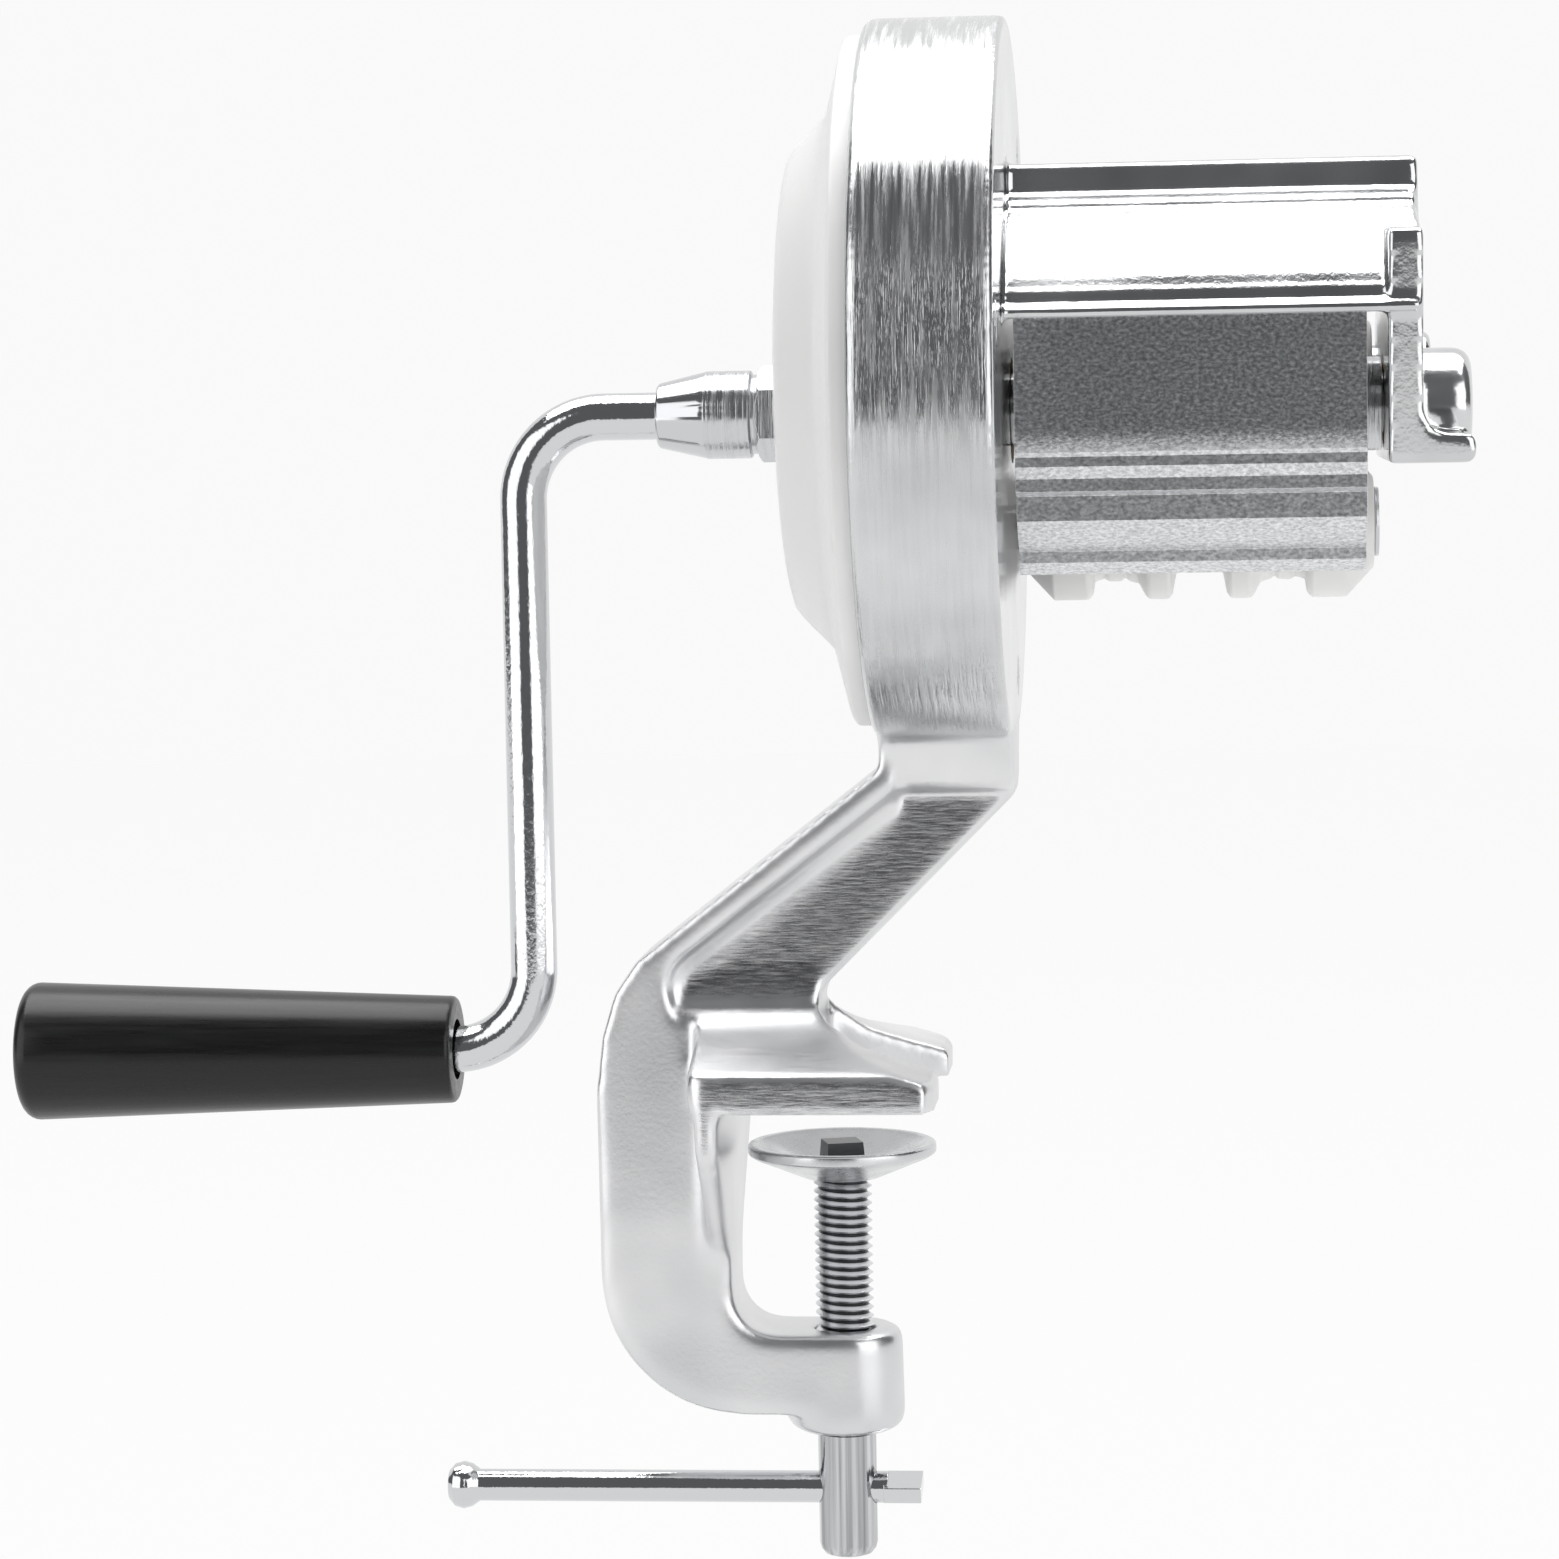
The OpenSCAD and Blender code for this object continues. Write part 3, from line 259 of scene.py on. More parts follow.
def turned_steel():
    # Turned and plated steel: rings from the lathe tool 0.6 mm apart on the straight part, the cone polished.
    mat, tree, bsdf, coord = shader("turned_plated_steel", "#CDCED0", 1.0, 0.2)
    along = add(tree, "ShaderNodeSeparateXYZ", {0: coord}).outputs["X"]
    straight = mask(tree, (along, -0.0212, -0.0204))
    rings = streaks(tree, coord, (1700, 40, 40))
    rings = add(tree, "ShaderNodeMath", {0: rings, 1: straight}, operation="MULTIPLY")
    wear(tree, bsdf, rings, 0.00006, (0.12, 0.36))
    return mat


def spindle_steel(sizes):
    # Rolled thread in oiled steel, with painted shade darkening its roots so that its crests look bright; the plain
    # lower end brushed and the hammered square tip dark.
    mat, tree, bsdf, coord = shader("rolled_thread_steel", "#B4B6B8", 1.0, 0.3)
    height = add(tree, "ShaderNodeSeparateXYZ", {0: coord}).outputs["Z"]
    out = add(tree, "ShaderNodeVectorMath", {0: coord, 1: (1, 1, 0)}, operation="MULTIPLY")
    out = add(tree, "ShaderNodeVectorMath", {0: out}, operation="LENGTH")
    top, bottom, reach = sizes.thread_top, sizes.thread_bottom, sizes.thread_radius
    shank = mask(tree, (height, bottom - 0.1 * MM, bottom - 0.4 * MM))
    # Where painted shade darkens the roots of the thread.
    root_shade = mask(tree, (out, reach - 0.6 * MM, reach - 0.85 * MM), (height, bottom - 0.4 * MM, bottom - 0.1 * MM),
                (height, top + 1.0 * MM, top + 0.4 * MM))
    tip = mask(tree, (height, top + 2.6 * MM, top + 3.4 * MM))
    lines = streaks(tree, coord, (2600, 2600, 300), 2.0)
    bump = add(tree, "ShaderNodeBump", {"Height": lines, "Strength": 1.0, "Distance": 0.000008})
    brush = streaks(tree, coord, (800, 800, 14), 4.0)
    brush = add(tree, "ShaderNodeMix", {0: brush, 6: linear("#8C8D8F"), 7: linear("#DADBDD")}, data_type="RGBA")
    tone = add(tree, "ShaderNodeMix", {0: shank, 6: linear("#E2E3E5"), 7: brush}, data_type="RGBA")
    # Painted shade darkens the thread's roots; the hammered tip is dark.
    for zone, dark in ((root_shade, "#3A3B3D"), (tip, "#4A4B4D")):
        tone = add(tree, "ShaderNodeMix", {0: zone, 6: tone, 7: linear(dark)}, data_type="RGBA")
    rough = add(tree, "ShaderNodeMapRange", {"Value": shank, "To Min": 0.30, "To Max": 0.14})
    drive(tree, bsdf, {"Normal": bump, "Base Color": tone, "Roughness": rough})
    return mat


def grip_black():
    # Compression-moulded phenolic: deep black with a soft gloss and faint handling scuffs.
    mat, tree, bsdf, coord = shader("phenolic_moulded_black", "#161719", 0.0, 0.3, IOR=1.41,
                                    Coat_Weight=0.1, Coat_Roughness=0.2)
    wear(tree, bsdf, streaks(tree, coord, (40, 900, 900)), 0.0000024, (0.24, 0.36), ("#0B0B0C", "#121314"))
    return mat


MATERIALS = {}


def finishes():
    """Makes every finish once and returns them by slot name."""
    if not MATERIALS:
        sizes = bpy.context.scene.cavatelli_looks
        MATERIALS.update({
            "cast_aluminium": cast_aluminium(sizes),
            "plate_aluminium": plate_aluminium(),
            # Polypropylene: milky white with a soft sheen.
            "white_cover": white_moulding("polypropylene_moulded_white", sizes.white, rough=0.34, grain=900),
            # Acetal: a denser, slightly greyer white than the cover.
            "white_roller": white_moulding("acetal_moulded_white", "#D2D2D0", rough=0.38, grain=1300),
            # Unfilled nylon: dull cream.
            "gear_nylon": white_moulding("nylon_moulded_natural", "#E2DCCB", rough=0.45, grain=1300),
            # Sintered bronze: porous and matt, warm brown.
            "bush_bronze": worked_metal("sintered_bronze", "#B08A55", rough=0.42,
                                        stretch=(1800, 1800, 1800), depth=0.000004),
            # Ground steel: bright grey, with fine lines round the shaft.
            "shaft_steel": worked_metal("ground_steel", "#B9BBBD", rough=0.2,
                                        stretch=(4000, 300, 300), depth=0.0000024),
            # Chrome over polished steel: mirror bright, with a slight wobble from the steel beneath.
            "chrome_rod": worked_metal("chrome_plated_steel", "#D2D3D5", rough=0.08,
                                       stretch=(1300, 1300, 700), depth=0.000016),
            "turned_steel": turned_steel(),
            # Zinc-plated steel: pale and satin, with soft clouds.
            "zinc_steel": worked_metal("zinc_plated_steel", "#D3D4D5", rough=0.24,
                                       stretch=(260, 260, 400), depth=0.000004),
            "thread_steel": spindle_steel(sizes),
            "grip_black": grip_black(),
        })
    return MATERIALS


def slot_of(node):
    """The material slot that the record gives a CAD node."""
    return next(s["material_slot"] for s in frame["record"]["subparts"] if s["node"] == node)


def body_of_node(node):
    """The body that the record puts a CAD node on."""
    bodies = frame["record"]["behaviour"]["bodies"]
    return next(name for name, nodes in bodies.items() if node in nodes)


def settle(piece, node):
    """Gives a finished piece its finish and body, and lets it stand for its CAD node."""
    slot = slot_of(node)
    piece.data.materials.clear()
    piece.data.materials.append(finishes()[slot])
    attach(piece, body_of_node(node))
    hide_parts(node)


def new_piece(name, mesh):
    """An object of a mesh, linked to the scene at the origin."""
    piece = bpy.data.objects.new(name, mesh)
    bpy.context.scene.collection.objects.link(piece)
    return piece


def soften(mesh, angle):
    """Smooth shading with sharp edges above an angle in degrees."""
    mesh.polygons.foreach_set("use_smooth", np.ones(len(mesh.polygons), dtype=bool))
    mesh.set_sharp_from_angle(angle=math.radians(angle))


def merged_copy(node, flat=0.4):
    """A merged copy of a CAD node's mesh, its faces joined where they turn by less than flat degrees."""
    bm = bmesh.new()
    bm.from_mesh(frame["nodes"][node].data)
    bmesh.ops.remove_doubles(bm, verts=bm.verts, dist=2e-6)
    bmesh.ops.dissolve_limit(bm, angle_limit=math.radians(flat), verts=bm.verts, edges=bm.edges)
    mesh = bpy.data.meshes.new("dressed_" + node)
    bm.to_mesh(mesh)
    bm.free()
    return mesh


def baked(piece):
    """Turns the modifiers of a piece into plain mesh."""
    graph = bpy.context.evaluated_depsgraph_get()
    mesh = bpy.data.meshes.new_from_object(piece.evaluated_get(graph))
    piece.modifiers.clear()
    old = piece.data
    piece.data = mesh
    bpy.data.meshes.remove(old)


def level_flats(piece, angle):
    """Smooth shading in which large faces stay flat, with sharp edges above an angle in degrees."""
    soften(piece.data, angle)
    level = piece.modifiers.new("level_flats", "WEIGHTED_NORMAL")
    level.mode = "FACE_AREA"
    level.weight = 50
    level.keep_sharp = True
    baked(piece)


def dressed(node, edge=0.0, angle=32, segments=2, flat=0.4):
    """A CAD node with softly broken edges: edge is their width in millimetres, 0 for none.

    Edges sharper than angle, in degrees, are broken or stay sharp; flat is for merged_copy.
    """
    piece = new_piece(node + "_dressed", merged_copy(node, flat))
    if edge:
        bevel = piece.modifiers.new("broken_edge", "BEVEL")
        bevel.width = edge * MM
        bevel.segments = segments
        bevel.limit_method = "ANGLE"
        bevel.angle_limit = math.radians(angle)
        baked(piece)
        level_flats(piece, angle)
    else:
        soften(piece.data, angle)
    settle(piece, node)


def points_of(mesh, key="co"):
    """The places of a mesh's vertices, or their normals, one row each."""
    rows = np.empty(len(mesh.vertices) * 3)
    mesh.vertices.foreach_get(key, rows)
    return rows.reshape(-1, 3)


def put_points(mesh, co):
    """Moves a mesh's vertices to the places in the rows of co."""
    mesh.vertices.foreach_set("co", co.ravel())
    mesh.update()


def weigh(piece, name, chosen, weight):
    """Gives the chosen vertices of a piece a weight in the group of that name."""
    group = piece.vertex_groups.get(name) or piece.vertex_groups.new(name=name)
    group.add([int(i) for i in np.nonzero(chosen)[0]], weight, "REPLACE")


def soft_zones(piece):
    """Marks the arm, and the clamp with weights that fade in downwards, for rounder edges."""
    x, y, z = points_of(piece.data).T
    behind = x < SPINE_FRONT
    weigh(piece, "arm", (z < ARM_RISE[1]) & ((z > ARM_RISE[0]) | behind), 1.0)
    clamp = (np.hypot(x, y) > BOSS_BORE) & (behind | (z < CLAMP_FOOT))
    for part in np.linspace(0.1, 1.0, 10):
        weigh(piece, "spine", clamp & (z < FADE_TOP - FADE_DEEP * part), float(part))


def true_faces(co, facing, sizes):
    """Puts the housing's wall, its flat front and the jaw's underside back where the smoothing found them."""
    x, y, z = co.T
    middle = sizes.housing_height
    radius = np.hypot(y, z - middle)
    wall = (np.abs(radius - sizes.housing_radius) < FACE_REACH) & (x > WALL_SPAN[0]) & (x < WALL_SPAN[1])
    wall &= ~((z < ARM_ROOT[0]) & (np.abs(y) < ARM_ROOT[1]))
    grow = sizes.housing_radius / radius[wall]
    y[wall] *= grow
    z[wall] = middle + (z[wall] - middle) * grow
    front = (np.abs(x - sizes.housing_front) < FACE_REACH) & (radius < sizes.housing_radius - RIM)
    front &= np.abs(facing[:, 0]) > FLAT_FACING
    x[front] = sizes.housing_front
    under = (np.abs(z) < JAW_REACH) & (x > JAW_SPAN[0]) & (x < JAW_SPAN[1])
    z[under] = 0.0


def lean_web(co, sizes):
    """Leans the faces of the arm's web by their draft, and lets the lean fade out inside and at the rims."""
    y, z = co[:, 1], co[:, 2]
    out = np.abs(y)
    web = (out < WEB_OUT[1]) & (out > WEB_OUT[0]) & (z > WEB_RISE[0]) & (z < WEB_RISE[1])
    out = out[web]
    lean = math.tan(math.radians(sizes.web_lean)) * (z[web] - WEB_PIVOT)
    lean *= np.clip((out - WEB_OUT[0]) / WEB_FADE[0], 0, 1) * np.clip((WEB_OUT[1] - out) / WEB_FADE[1], 0, 1)
    y[web] -= np.sign(y[web]) * lean


def casting(sizes):
    """The body casting: the CAD solid remeshed so that its edges and corners take casting fillets."""
    piece = new_piece("body_casting_dressed", merged_copy("body_casting"))
    remesh = piece.modifiers.new("skin", "REMESH")
    remesh.mode = "VOXEL"
    remesh.voxel_size = sizes.skin
    baked(piece)
    soft_zones(piece)
    for label, turns, group in (("all", sizes.edge_passes, ""), ("fillets", sizes.fillet_passes, "arm"),
                                ("clamp", sizes.clamp_passes, "spine")):
        smooth = piece.modifiers.new(label, "SMOOTH")
        smooth.factor = 0.5
        smooth.iterations = turns
        smooth.vertex_group = group
    baked(piece)
    mesh = piece.data
    co = points_of(mesh)
    true_faces(co, points_of(mesh, "normal"), sizes)
    lean_web(co, sizes)
    put_points(mesh, np.clip(co, *np.array(CAD_BOX)))
    thin = piece.modifiers.new("thin", "DECIMATE")
    thin.ratio = min(1.0, sizes.casting_faces / (2 * len(mesh.polygons)))
    thin.use_collapse_triangulate = True
    baked(piece)
    level_flats(piece, CASTING_BEND)
    settle(piece, "body_casting")


def node_tree(name, inputs):
    """A Geometry Nodes tree with a mesh in and out and the named float inputs."""
    tree = bpy.data.node_groups.new(name, "GeometryNodeTree")
    face = tree.interface
    face.new_socket("Geometry", in_out="INPUT", socket_type="NodeSocketGeometry")
    for label in inputs:
        face.new_socket(label, in_out="INPUT", socket_type="NodeSocketFloat")
    face.new_socket("Geometry", in_out="OUTPUT", socket_type="NodeSocketGeometry")
    return tree, add(tree, "NodeGroupInput"), add(tree, "NodeGroupOutput")


def close_tree(tree, out, geometry, material):
    """Ends a tree in Realize Instances and Set Material."""
    real = add(tree, "GeometryNodeRealizeInstances", {"Geometry": geometry})
    done = add(tree, "GeometryNodeSetMaterial", {"Geometry": real, "Material": material})
    tree.links.new(done.outputs[0], out.inputs[0])


def run_tree(piece, tree, values):
    """Runs a tree on a piece with its inputs set by identifier, and keeps the plain mesh."""
    modifier = piece.modifiers.new(tree.name, "NODES")
    modifier.node_group = tree
    for item in tree.interface.items_tree:
        if item.in_out == "INPUT" and item.name in values:
            modifier[item.identifier] = values[item.name]
    baked(piece)


def outward(mesh):
    """Points the faces of a closed mesh outwards."""
    bm = bmesh.new()
    bm.from_mesh(mesh)
    bmesh.ops.remove_doubles(bm, verts=bm.verts, dist=1e-6)
    bmesh.ops.recalc_face_normals(bm, faces=bm.faces)
    bm.to_mesh(mesh)
    bm.free()


def crank_rod(sizes):
    """The bent rod: a path with filleted corners, swept with a round section."""
    low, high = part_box("crank_rod")
    radius = (high[1] - low[1]) / 2
    top, bottom = high[2] - radius, low[2] + radius
    upright = sizes.rod_upright
    corners = [(high[0], 0, top), (upright, 0, top), (upright, 0, bottom), (low[0], 0, bottom)]
    mesh = bpy.data.meshes.new("crank_path")
    mesh.from_pydata(corners, [(0, 1), (1, 2), (2, 3)], [])
    piece = new_piece("crank_rod_dressed", mesh)
    tree, inp, out = node_tree("bent_rod", ["Rod radius", "Bend radius"])
    path = add(tree, "GeometryNodeMeshToCurve", {"Mesh": inp.outputs["Geometry"]})
    bent = add(tree, "GeometryNodeFilletCurve", {"Curve": path, "Radius": inp.outputs["Bend radius"], "Count": 28},
               mode="POLY")
    section = add(tree, "GeometryNodeCurvePrimitiveCircle",
                  {"Resolution": 48, "Radius": inp.outputs["Rod radius"]})
    swept = add(tree, "GeometryNodeCurveToMesh", {"Curve": bent, "Profile Curve": section, "Fill Caps": True})
    close_tree(tree, out, swept, finishes()["chrome_rod"])
    run_tree(piece, tree, {"Rod radius": radius, "Bend radius": sizes.bend_radius})
    outward(piece.data)
    soften(piece.data, ROD_BEND)
    settle(piece, "crank_rod")


def lathe(name, profile, axis_point, along, steps):
    """Spins a profile of (radius, distance) pairs about an axis along X or Z; a radius of 0 is a point."""
    rings = []
    bm = bmesh.new()
    for radius, dist in profile:
        if radius < 1e-9:
            spot = Vector((dist, 0, 0)) if along == "X" else Vector((0, 0, dist))
            rings.append([bm.verts.new(spot + Vector(axis_point))])
            continue
        ring = []
        for i in range(steps):
            a = 2 * math.pi * i / steps
            c, s = radius * math.cos(a), radius * math.sin(a)
            spot = Vector((dist, c, s)) if along == "X" else Vector((c, s, dist))
            ring.append(bm.verts.new(spot + Vector(axis_point)))
        rings.append(ring)
    for one, two in zip(rings, rings[1:]):
        for i in range(steps):
            j = (i + 1) % steps
            if len(one) == 1:
                bm.faces.new((one[0], two[i], two[j]))
            elif len(two) == 1:
                bm.faces.new((one[i], two[0], one[j]))
            else:
                bm.faces.new((one[i], two[i], two[j], one[j]))
    bmesh.ops.recalc_face_normals(bm, faces=bm.faces)
    mesh = bpy.data.meshes.new(name)
    bm.to_mesh(mesh)
    bm.free()
    return mesh


def spindle(sizes):
    """The clamp spindle: a helical thread swept round a core, with a plain drilled end."""
    reach, pitch = sizes.thread_radius, sizes.thread_pitch
    top, bottom = sizes.thread_top, sizes.thread_bottom
    core = reach - THREAD_DEEP * pitch
    shank = bare_spindle(core, reach, top, bottom)
    tree, inp, out = node_tree("helical_thread", ["Pitch", "Length", "Root radius", "Depth"])
    given = inp.outputs
    turns = add(tree, "ShaderNodeMath", {0: given["Length"], 1: given["Pitch"]}, operation="DIVIDE")
    coil = add(tree, "GeometryNodeCurveSpiral",
               {"Resolution": 40, "Rotations": turns, "Start Radius": given["Root radius"],
                "End Radius": given["Root radius"], "Height": given["Length"]})
    level = add(tree, "GeometryNodeSetCurveNormal", {"Curve": coil}, mode="Z_UP")
    half = add(tree, "ShaderNodeMath", {0: given["Pitch"], 1: THREAD_WIDE / 2}, operation="MULTIPLY")
    diamond = add(tree, "GeometryNodeCurvePrimitiveCircle", {"Resolution": 4, "Radius": 1.0})
    scale = add(tree, "ShaderNodeCombineXYZ", {0: given["Depth"], 1: half, 2: 1.0})
    shaped = add(tree, "GeometryNodeTransform", {"Geometry": diamond, "Scale": scale})
    swept = add(tree, "GeometryNodeCurveToMesh", {"Curve": level, "Profile Curve": shaped, "Fill Caps": True})
    moved = add(tree, "GeometryNodeTransform", {"Geometry": swept, "Translation": (0, 0, bottom)})
    both = add(tree, "GeometryNodeJoinGeometry", {0: moved})
    tree.links.new(given["Geometry"], both.inputs[0])
    close_tree(tree, out, both, finishes()["thread_steel"])
    run_tree(shank, tree, {"Pitch": pitch, "Length": top - bottom, "Root radius": core, "Depth": reach - core})
    soften(shank.data, THREAD_BEND)
    settle(shank, "clamp_spindle")


def peened_square(mesh, tip, half, deep, turned=17, narrow=0.92):
    """Adds the square end that is hammered over the pad: turned by some degrees, its top narrower than its foot."""
    bm = bmesh.new()
    bm.from_mesh(mesh)
    turn = Matrix.Rotation(math.radians(turned), 4, "Z")
    for v in bmesh.ops.create_cube(bm, size=1.0)["verts"]:
        grow = half * (1.0 if v.co.z < 0 else narrow)
        v.co = turn @ Vector((2 * v.co.x * grow, 2 * v.co.y * grow, tip + (v.co.z - 0.5) * deep))
    bm.to_mesh(mesh)
    bm.free()


def bare_spindle(core, reach, top, bottom):
    """The spindle without its thread: hammered tip, core and the drilled lower end."""
    low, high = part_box("clamp_spindle")
    foot, tip = low[2], high[2]
    neck = 2.9 * MM
    line = [(0, tip - 1.2 * MM), (neck, tip - 1.2 * MM), (neck, top + 0.9 * MM), (core, top + 0.6 * MM),
            (core, bottom - 0.3 * MM), (reach - 0.3 * MM, bottom - 0.4 * MM), (reach, bottom - 0.7 * MM),
            (reach, foot + 2.2 * MM), (reach - 0.25 * MM, foot + 1.2 * MM),
            (reach - 0.9 * MM, foot + 0.35 * MM), (reach - 1.9 * MM, foot), (0, foot)]
    shank = new_piece("clamp_spindle_dressed", lathe("spindle_shank", line, (0, 0, 0), "Z", 64))
    peened_square(shank.data, tip, half=3.3 * MM, deep=3.4 * MM)
    bar_low, bar_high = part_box("cross_bar")
    axis = (0, 0, (bar_low[2] + bar_high[2]) / 2)
    hole, end = 2.83 * MM, 20 * MM
    drill = new_piece("bar_drill", lathe("bar_hole", [(0, -end), (hole, -end), (hole, end), (0, end)], axis, "X", 48))
    cut = shank.modifiers.new("bar_hole", "BOOLEAN")
    cut.object = drill
    cut.solver = "EXACT"
    baked(shank)
    bpy.data.objects.remove(drill)
    return shank


class CavatelliLooks(bpy.types.PropertyGroup):
    """Sizes and colours that a user would change."""
    skin: bpy.props.FloatProperty(
        name="Skin", description="Grain of the casting's mesh", default=0.00055, unit="LENGTH")
    casting_faces: bpy.props.IntProperty(
        name="Casting faces", description="Triangles kept on the casting", default=190000)
    edge_passes: bpy.props.IntProperty(
        name="Edge passes", description="How far all the casting's edges are rounded", default=9)
    fillet_passes: bpy.props.IntProperty(
        name="Fillet passes", description="How far the arm's corners are rounded", default=25)
    clamp_passes: bpy.props.IntProperty(
        name="Clamp passes", description="How far the clamp's edges are rounded", default=60)
    housing_radius: bpy.props.FloatProperty(
        name="Housing radius", description="Radius of the gear housing", default=0.0605, unit="LENGTH")
    housing_height: bpy.props.FloatProperty(
        name="Housing height", description="Height of the housing's centre", default=0.120, unit="LENGTH")
    housing_front: bpy.props.FloatProperty(
        name="Housing front", description="Front face of the housing", default=0.0308, unit="LENGTH")
    web_lean: bpy.props.FloatProperty(
        name="Web lean", description="Draft of the arm's web in degrees", default=2.5)
    sanding: bpy.props.FloatProperty(
        name="Sanding", description="Depth of the sanding marks", default=0.00006, unit="LENGTH")
    rod_upright: bpy.props.FloatProperty(
        name="Rod upright", description="Where the crank's upright part stands", default=-0.0525, unit="LENGTH")
    bend_radius: bpy.props.FloatProperty(
        name="Bend radius", description="Radius of the crank's bends", default=0.014, unit="LENGTH")
    thread_radius: bpy.props.FloatProperty(
        name="Thread radius", description="Radius over the spindle's thread", default=0.005, unit="LENGTH")
    thread_pitch: bpy.props.FloatProperty(
        name="Thread pitch", description="Pitch of the spindle's thread", default=0.0015, unit="LENGTH")
    thread_top: bpy.props.FloatProperty(
        name="Thread top", description="Upper end of the thread", default=-0.0160, unit="LENGTH")
    thread_bottom: bpy.props.FloatProperty(
        name="Thread bottom", description="Lower end of the thread", default=-0.0588, unit="LENGTH")
    white: bpy.props.StringProperty(
        name="White", description="Colour of the cover", default="#D9D9D8")
    paper_front: bpy.props.FloatProperty(
        name="Paper front", description="Where the white floor ends in front", default=1.25, unit="LENGTH")
    room: bpy.props.FloatProperty(
        name="Room", description="Brightness of the room round the studio", default=0.5)
    softbox_watts: bpy.props.FloatProperty(
        name="Softbox", description="Power of the overhead softbox", default=30, unit="POWER")
    panel_watts: bpy.props.FloatProperty(
        name="Panels", description="Power of the side panels, before their trims", default=6, unit="POWER")
    lens: bpy.props.FloatProperty(
        name="Lens", description="Focal length of the camera in millimetres", default=105.9)
    distance: bpy.props.FloatProperty(
        name="Distance", description="Camera distance", default=0.780, unit="LENGTH")


class CAVATELLI_OT_casting(bpy.types.Operator):
    """Makes the filleted body casting"""
    bl_idname = "cavatelli.casting"
    bl_label = "Body casting"

    def execute(self, context):
        casting(context.scene.cavatelli_looks)
        return {"FINISHED"}


class CAVATELLI_OT_cover(bpy.types.Operator):
    """Makes the white gear cover and its screws"""
    bl_idname = "cavatelli.cover"
    bl_label = "Gear cover"

    def execute(self, context):
        dressed("gear_cover", angle=24, flat=0.03)
        for tail in "abc":
            dressed("cover_screw_" + tail, edge=0.08)
        return {"FINISHED"}


class CAVATELLI_OT_crank(bpy.types.Operator):
    """Makes the crank rod, ferrule, locknut, rivet and grip"""
    bl_idname = "cavatelli.crank"
    bl_label = "Crank and grip"

    def execute(self, context):
        crank_rod(context.scene.cavatelli_looks)
        dressed("crank_ferrule", edge=0.12, angle=24)
        dressed("crank_locknut", edge=0.15)
        dressed("grip_rivet", angle=24)
        dressed("crank_grip", angle=40)
        return {"FINISHED"}


class CAVATELLI_OT_drive(bpy.types.Operator):
    """Makes the shafts, gears, bushes and collar"""
    bl_idname = "cavatelli.drive"
    bl_label = "Gears and shafts"

    def execute(self, context):
        for node in ("crank_gear", "upper_gear", "upper_pair_gear", "lower_pair_gear"):
            dressed(node, angle=30)
        for node in ("main_shaft", "upper_shaft", "lower_shaft", "main_bush", "upper_bush", "lower_bush",
                     "front_bush", "thrust_collar", "lower_retainer"):
            dressed(node, edge=0.2)
        return {"FINISHED"}


class CAVATELLI_OT_rollers(bpy.types.Operator):
    """Makes the cutter, the feed rollers, the forming plate and its screws"""
    bl_idname = "cavatelli.rollers"
    bl_label = "Rollers and plate"

    def execute(self, context):
        for node in ("cutter", "upper_roller", "lower_roller"):
            dressed(node, edge=0.35, angle=30)
        dressed("forming_plate", edge=0.5, angle=30, segments=4)
        for side in ("left", "right"):
            dressed("plate_screw_" + side, edge=0.08)
        return {"FINISHED"}


class CAVATELLI_OT_clamp(bpy.types.Operator):
    """Makes the clamp's pad, spindle and cross bar"""
    bl_idname = "cavatelli.clamp"
    bl_label = "Clamp screw"

    def execute(self, context):
        dressed("clamp_pad", edge=0.25, angle=20)
        dressed("cross_bar", edge=0.35, angle=24)
        spindle(context.scene.cavatelli_looks)
        return {"FINISHED"}


def studio_surface(name, color, glow):
    """A pale studio surface that cameras and mirrors see as near white."""
    mat = bpy.data.materials.new(name)
    mat.use_nodes = True
    tree = mat.node_tree
    tree.nodes.clear()
    seen = 0.0
    rays = add(tree, "ShaderNodeLightPath").outputs
    for ray in ("Is Camera Ray", "Is Glossy Ray", "Is Transmission Ray"):
        seen = add(tree, "ShaderNodeMath", {0: seen, 1: rays[ray]}, operation="MAXIMUM")
    part = add(tree, "ShaderNodeMath", {0: seen, 1: glow}, operation="MULTIPLY")
    matt = add(tree, "ShaderNodeBsdfDiffuse", {"Color": linear(color)})
    light = add(tree, "ShaderNodeEmission", {"Color": linear(color), "Strength": 1.0})
    mix = add(tree, "ShaderNodeMixShader", {0: part, 1: matt, 2: light})
    add(tree, "ShaderNodeOutputMaterial", {"Surface": mix})
    return mat


def sheet(name, corners, material):
    """A flat sheet of the studio, kept out of the part."""
    mesh = bpy.data.meshes.new(name)
    mesh.from_pydata(corners, [], [tuple(range(len(corners)))])
    mesh.materials.append(material)
    new_piece(name, mesh)


def softbox(name, place, aim, size, watts):
    """A rectangular area light at a place, turned towards its aim."""
    lamp = bpy.data.lights.new(name, "AREA")
    lamp.shape = "RECTANGLE"
    lamp.size, lamp.size_y = size
    lamp.energy = watts
    item = bpy.data.objects.new(name, lamp)
    item.location = place
    item.rotation_euler = (Vector(aim) - Vector(place)).to_track_quat("-Z", "Y").to_euler()
    bpy.context.scene.collection.objects.link(item)


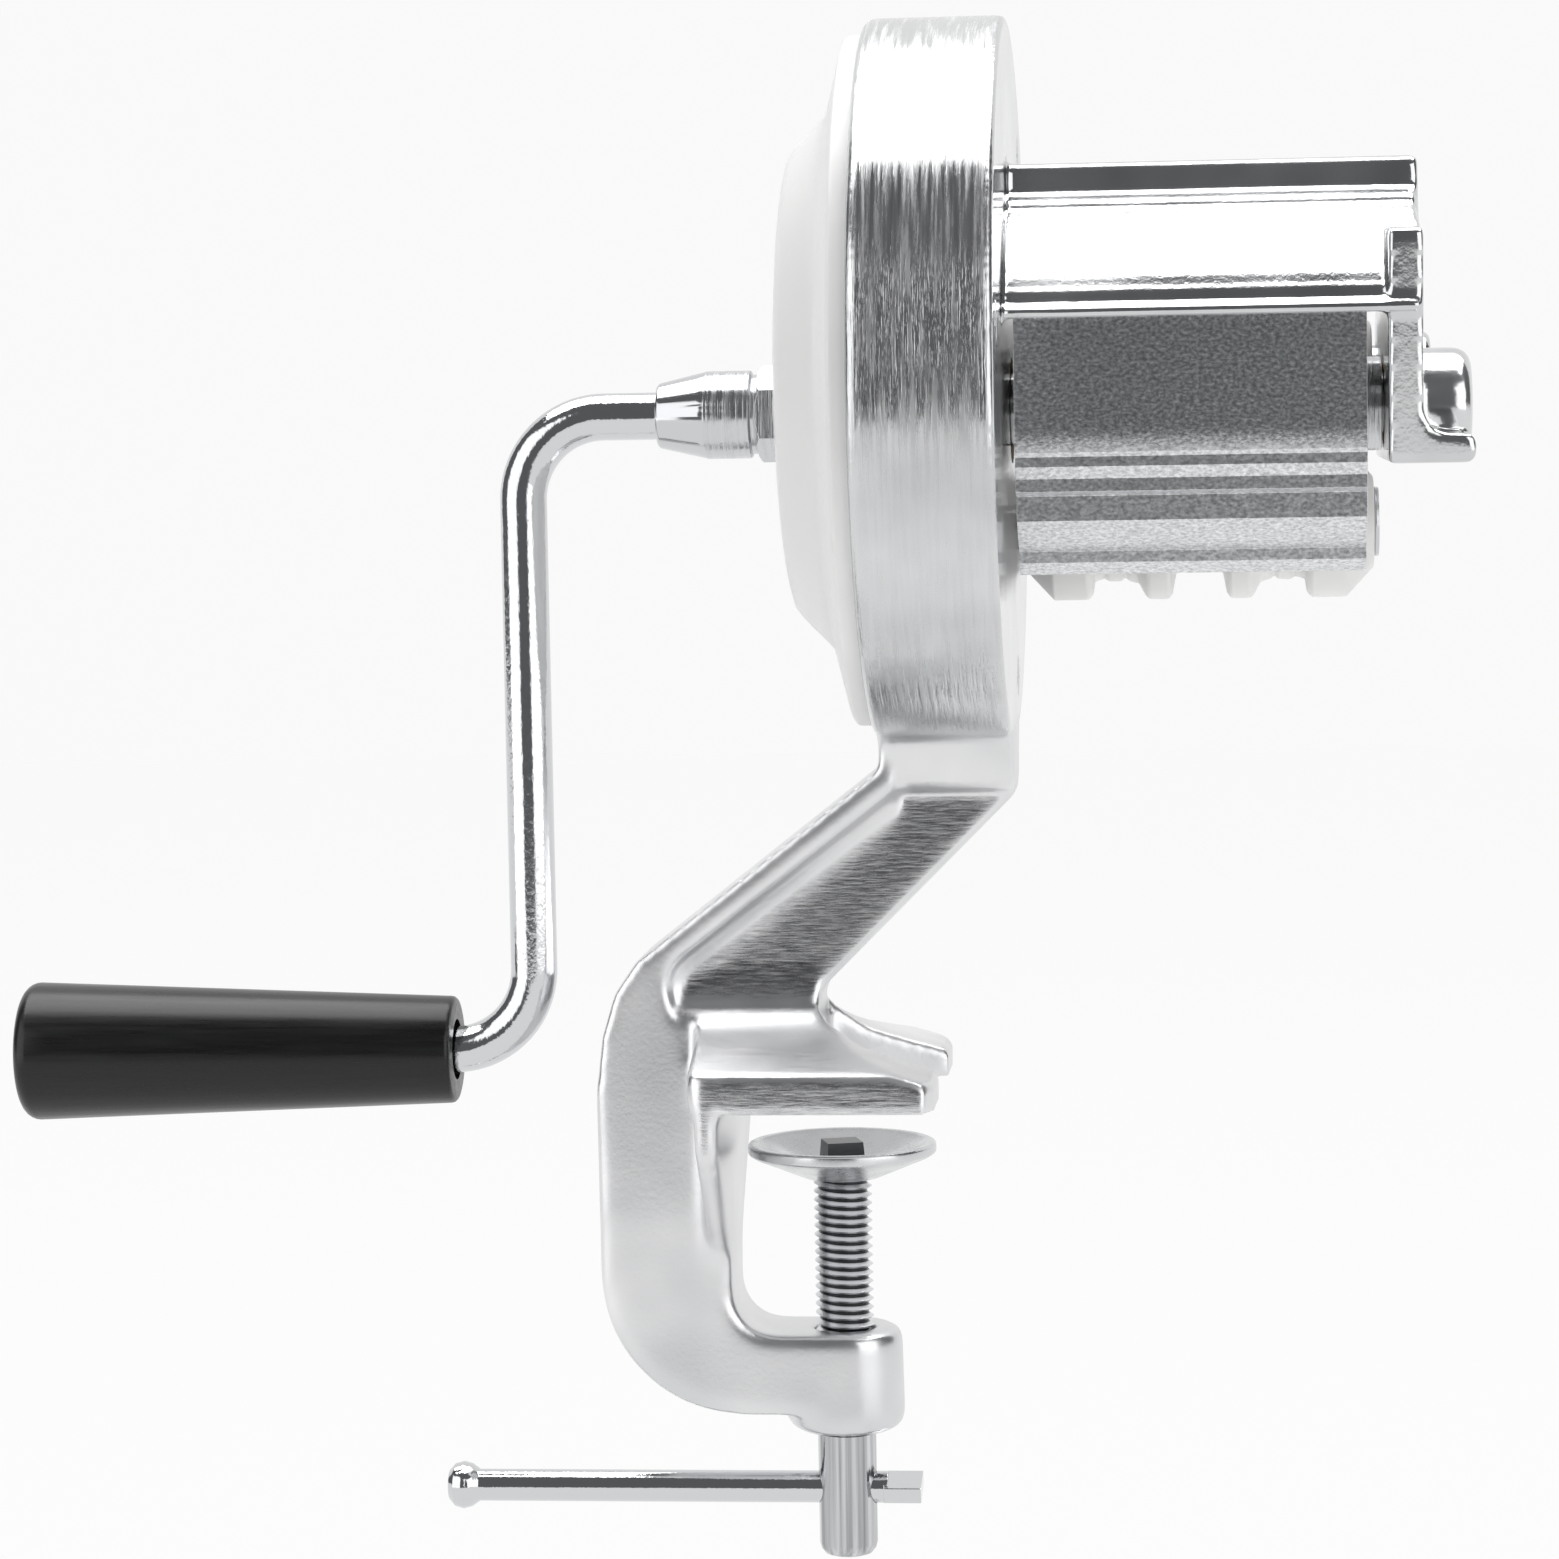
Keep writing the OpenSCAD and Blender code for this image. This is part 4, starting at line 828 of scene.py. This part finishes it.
class CAVATELLI_OT_stage(bpy.types.Operator):
    """Sets up the pale studio, its light and the camera"""
    bl_idname = "cavatelli.stage"
    bl_label = "Studio"

    def execute(self, context):
        sizes = context.scene.cavatelli_looks
        scene = context.scene
        scene.view_settings.view_transform = "Standard"
        white = studio_surface("studio_paper", "#FBFBFB", 0.97)
        near = -sizes.paper_front
        sheet("floor", [(-PAPER_HALF, near, FLOOR), (PAPER_HALF, near, FLOOR),
                        (PAPER_HALF, PAPER_BACK, FLOOR), (-PAPER_HALF, PAPER_BACK, FLOOR)], white)
        sheet("backdrop", [(-PAPER_HALF, PAPER_BACK, FLOOR), (PAPER_HALF, PAPER_BACK, FLOOR),
                           (PAPER_HALF, PAPER_BACK, PAPER_TOP), (-PAPER_HALF, PAPER_BACK, PAPER_TOP)], white)
        world = bpy.data.worlds.new("studio_room")
        scene.world = world
        world.use_nodes = True
        back = world.node_tree.nodes["Background"]
        back.inputs["Color"].default_value = linear("#8C8D8F")
        back.inputs["Strength"].default_value = sizes.room
        softbox("overhead", (0.0, 0.195, 1.25), (0.0, 0.195, 0.0), (2.0, 1.11), sizes.softbox_watts)
        softbox("left_panel", (-0.98, -0.69, 0.35), (0, 0, 0.2), (1.22, 1.2),
                sizes.panel_watts * LEFT_TRIM)
        softbox("right_panel", (0.95, -0.85, 0.35), (0.05, 0, 0.2), (1.25, 1.2),
                sizes.panel_watts * RIGHT_TRIM)
        # The camera's aim and its angles, found by matching the photo.
        aim = Vector((-0.00962, 0.0, 0.05303))
        turn, lift, roll = math.radians(5.7), math.radians(4.8), math.radians(1.05)
        back_dir = Vector((math.sin(turn) * math.cos(lift), -math.cos(turn) * math.cos(lift), math.sin(lift)))
        right = Vector((math.cos(turn), math.sin(turn), 0))
        up = back_dir.cross(right)
        right, up = right * math.cos(roll) - up * math.sin(roll), right * math.sin(roll) + up * math.cos(roll)
        lens = bpy.data.cameras.new("photo_camera")
        lens.lens = sizes.lens
        lens.sensor_width = 36
        lens.clip_start = 0.01
        item = bpy.data.objects.new("photo_camera", lens)
        spot = aim + back_dir * sizes.distance
        item.matrix_world = Matrix(((right.x, up.x, back_dir.x, spot.x), (right.y, up.y, back_dir.y, spot.y),
                                    (right.z, up.z, back_dir.z, spot.z), (0, 0, 0, 1)))
        scene.collection.objects.link(item)
        scene.camera = item
        return {"FINISHED"}


STEPS = (CAVATELLI_OT_casting, CAVATELLI_OT_cover, CAVATELLI_OT_crank, CAVATELLI_OT_drive, CAVATELLI_OT_rollers,
         CAVATELLI_OT_clamp, CAVATELLI_OT_stage)


class CAVATELLI_PT_panel(bpy.types.Panel):
    """Lists the pieces of the cavatelli maker"""
    bl_idname = "CAVATELLI_PT_panel"
    bl_label = "Cavatelli maker"
    bl_space_type = "VIEW_3D"
    bl_region_type = "UI"
    bl_category = "Cavatelli"

    def draw(self, context):
        for step in STEPS:
            self.layout.operator(step.bl_idname)


CLASSES = (CavatelliLooks,) + STEPS + (CAVATELLI_PT_panel,)


def register():
    """Adds the classes and the sizes to Blender."""
    for item in CLASSES:
        bpy.utils.register_class(item)
    bpy.types.Scene.cavatelli_looks = bpy.props.PointerProperty(type=CavatelliLooks)


def unregister():
    """Takes the sizes and the classes out of Blender."""
    del bpy.types.Scene.cavatelli_looks
    for item in reversed(CLASSES):
        bpy.utils.unregister_class(item)


def main():
    """Builds every piece and the studio."""
    register()
    bpy.ops.cavatelli.casting()
    bpy.ops.cavatelli.cover()
    bpy.ops.cavatelli.crank()
    bpy.ops.cavatelli.drive()
    bpy.ops.cavatelli.rollers()
    bpy.ops.cavatelli.clamp()
    bpy.ops.cavatelli.stage()


if __name__ == "__main__":
    main()
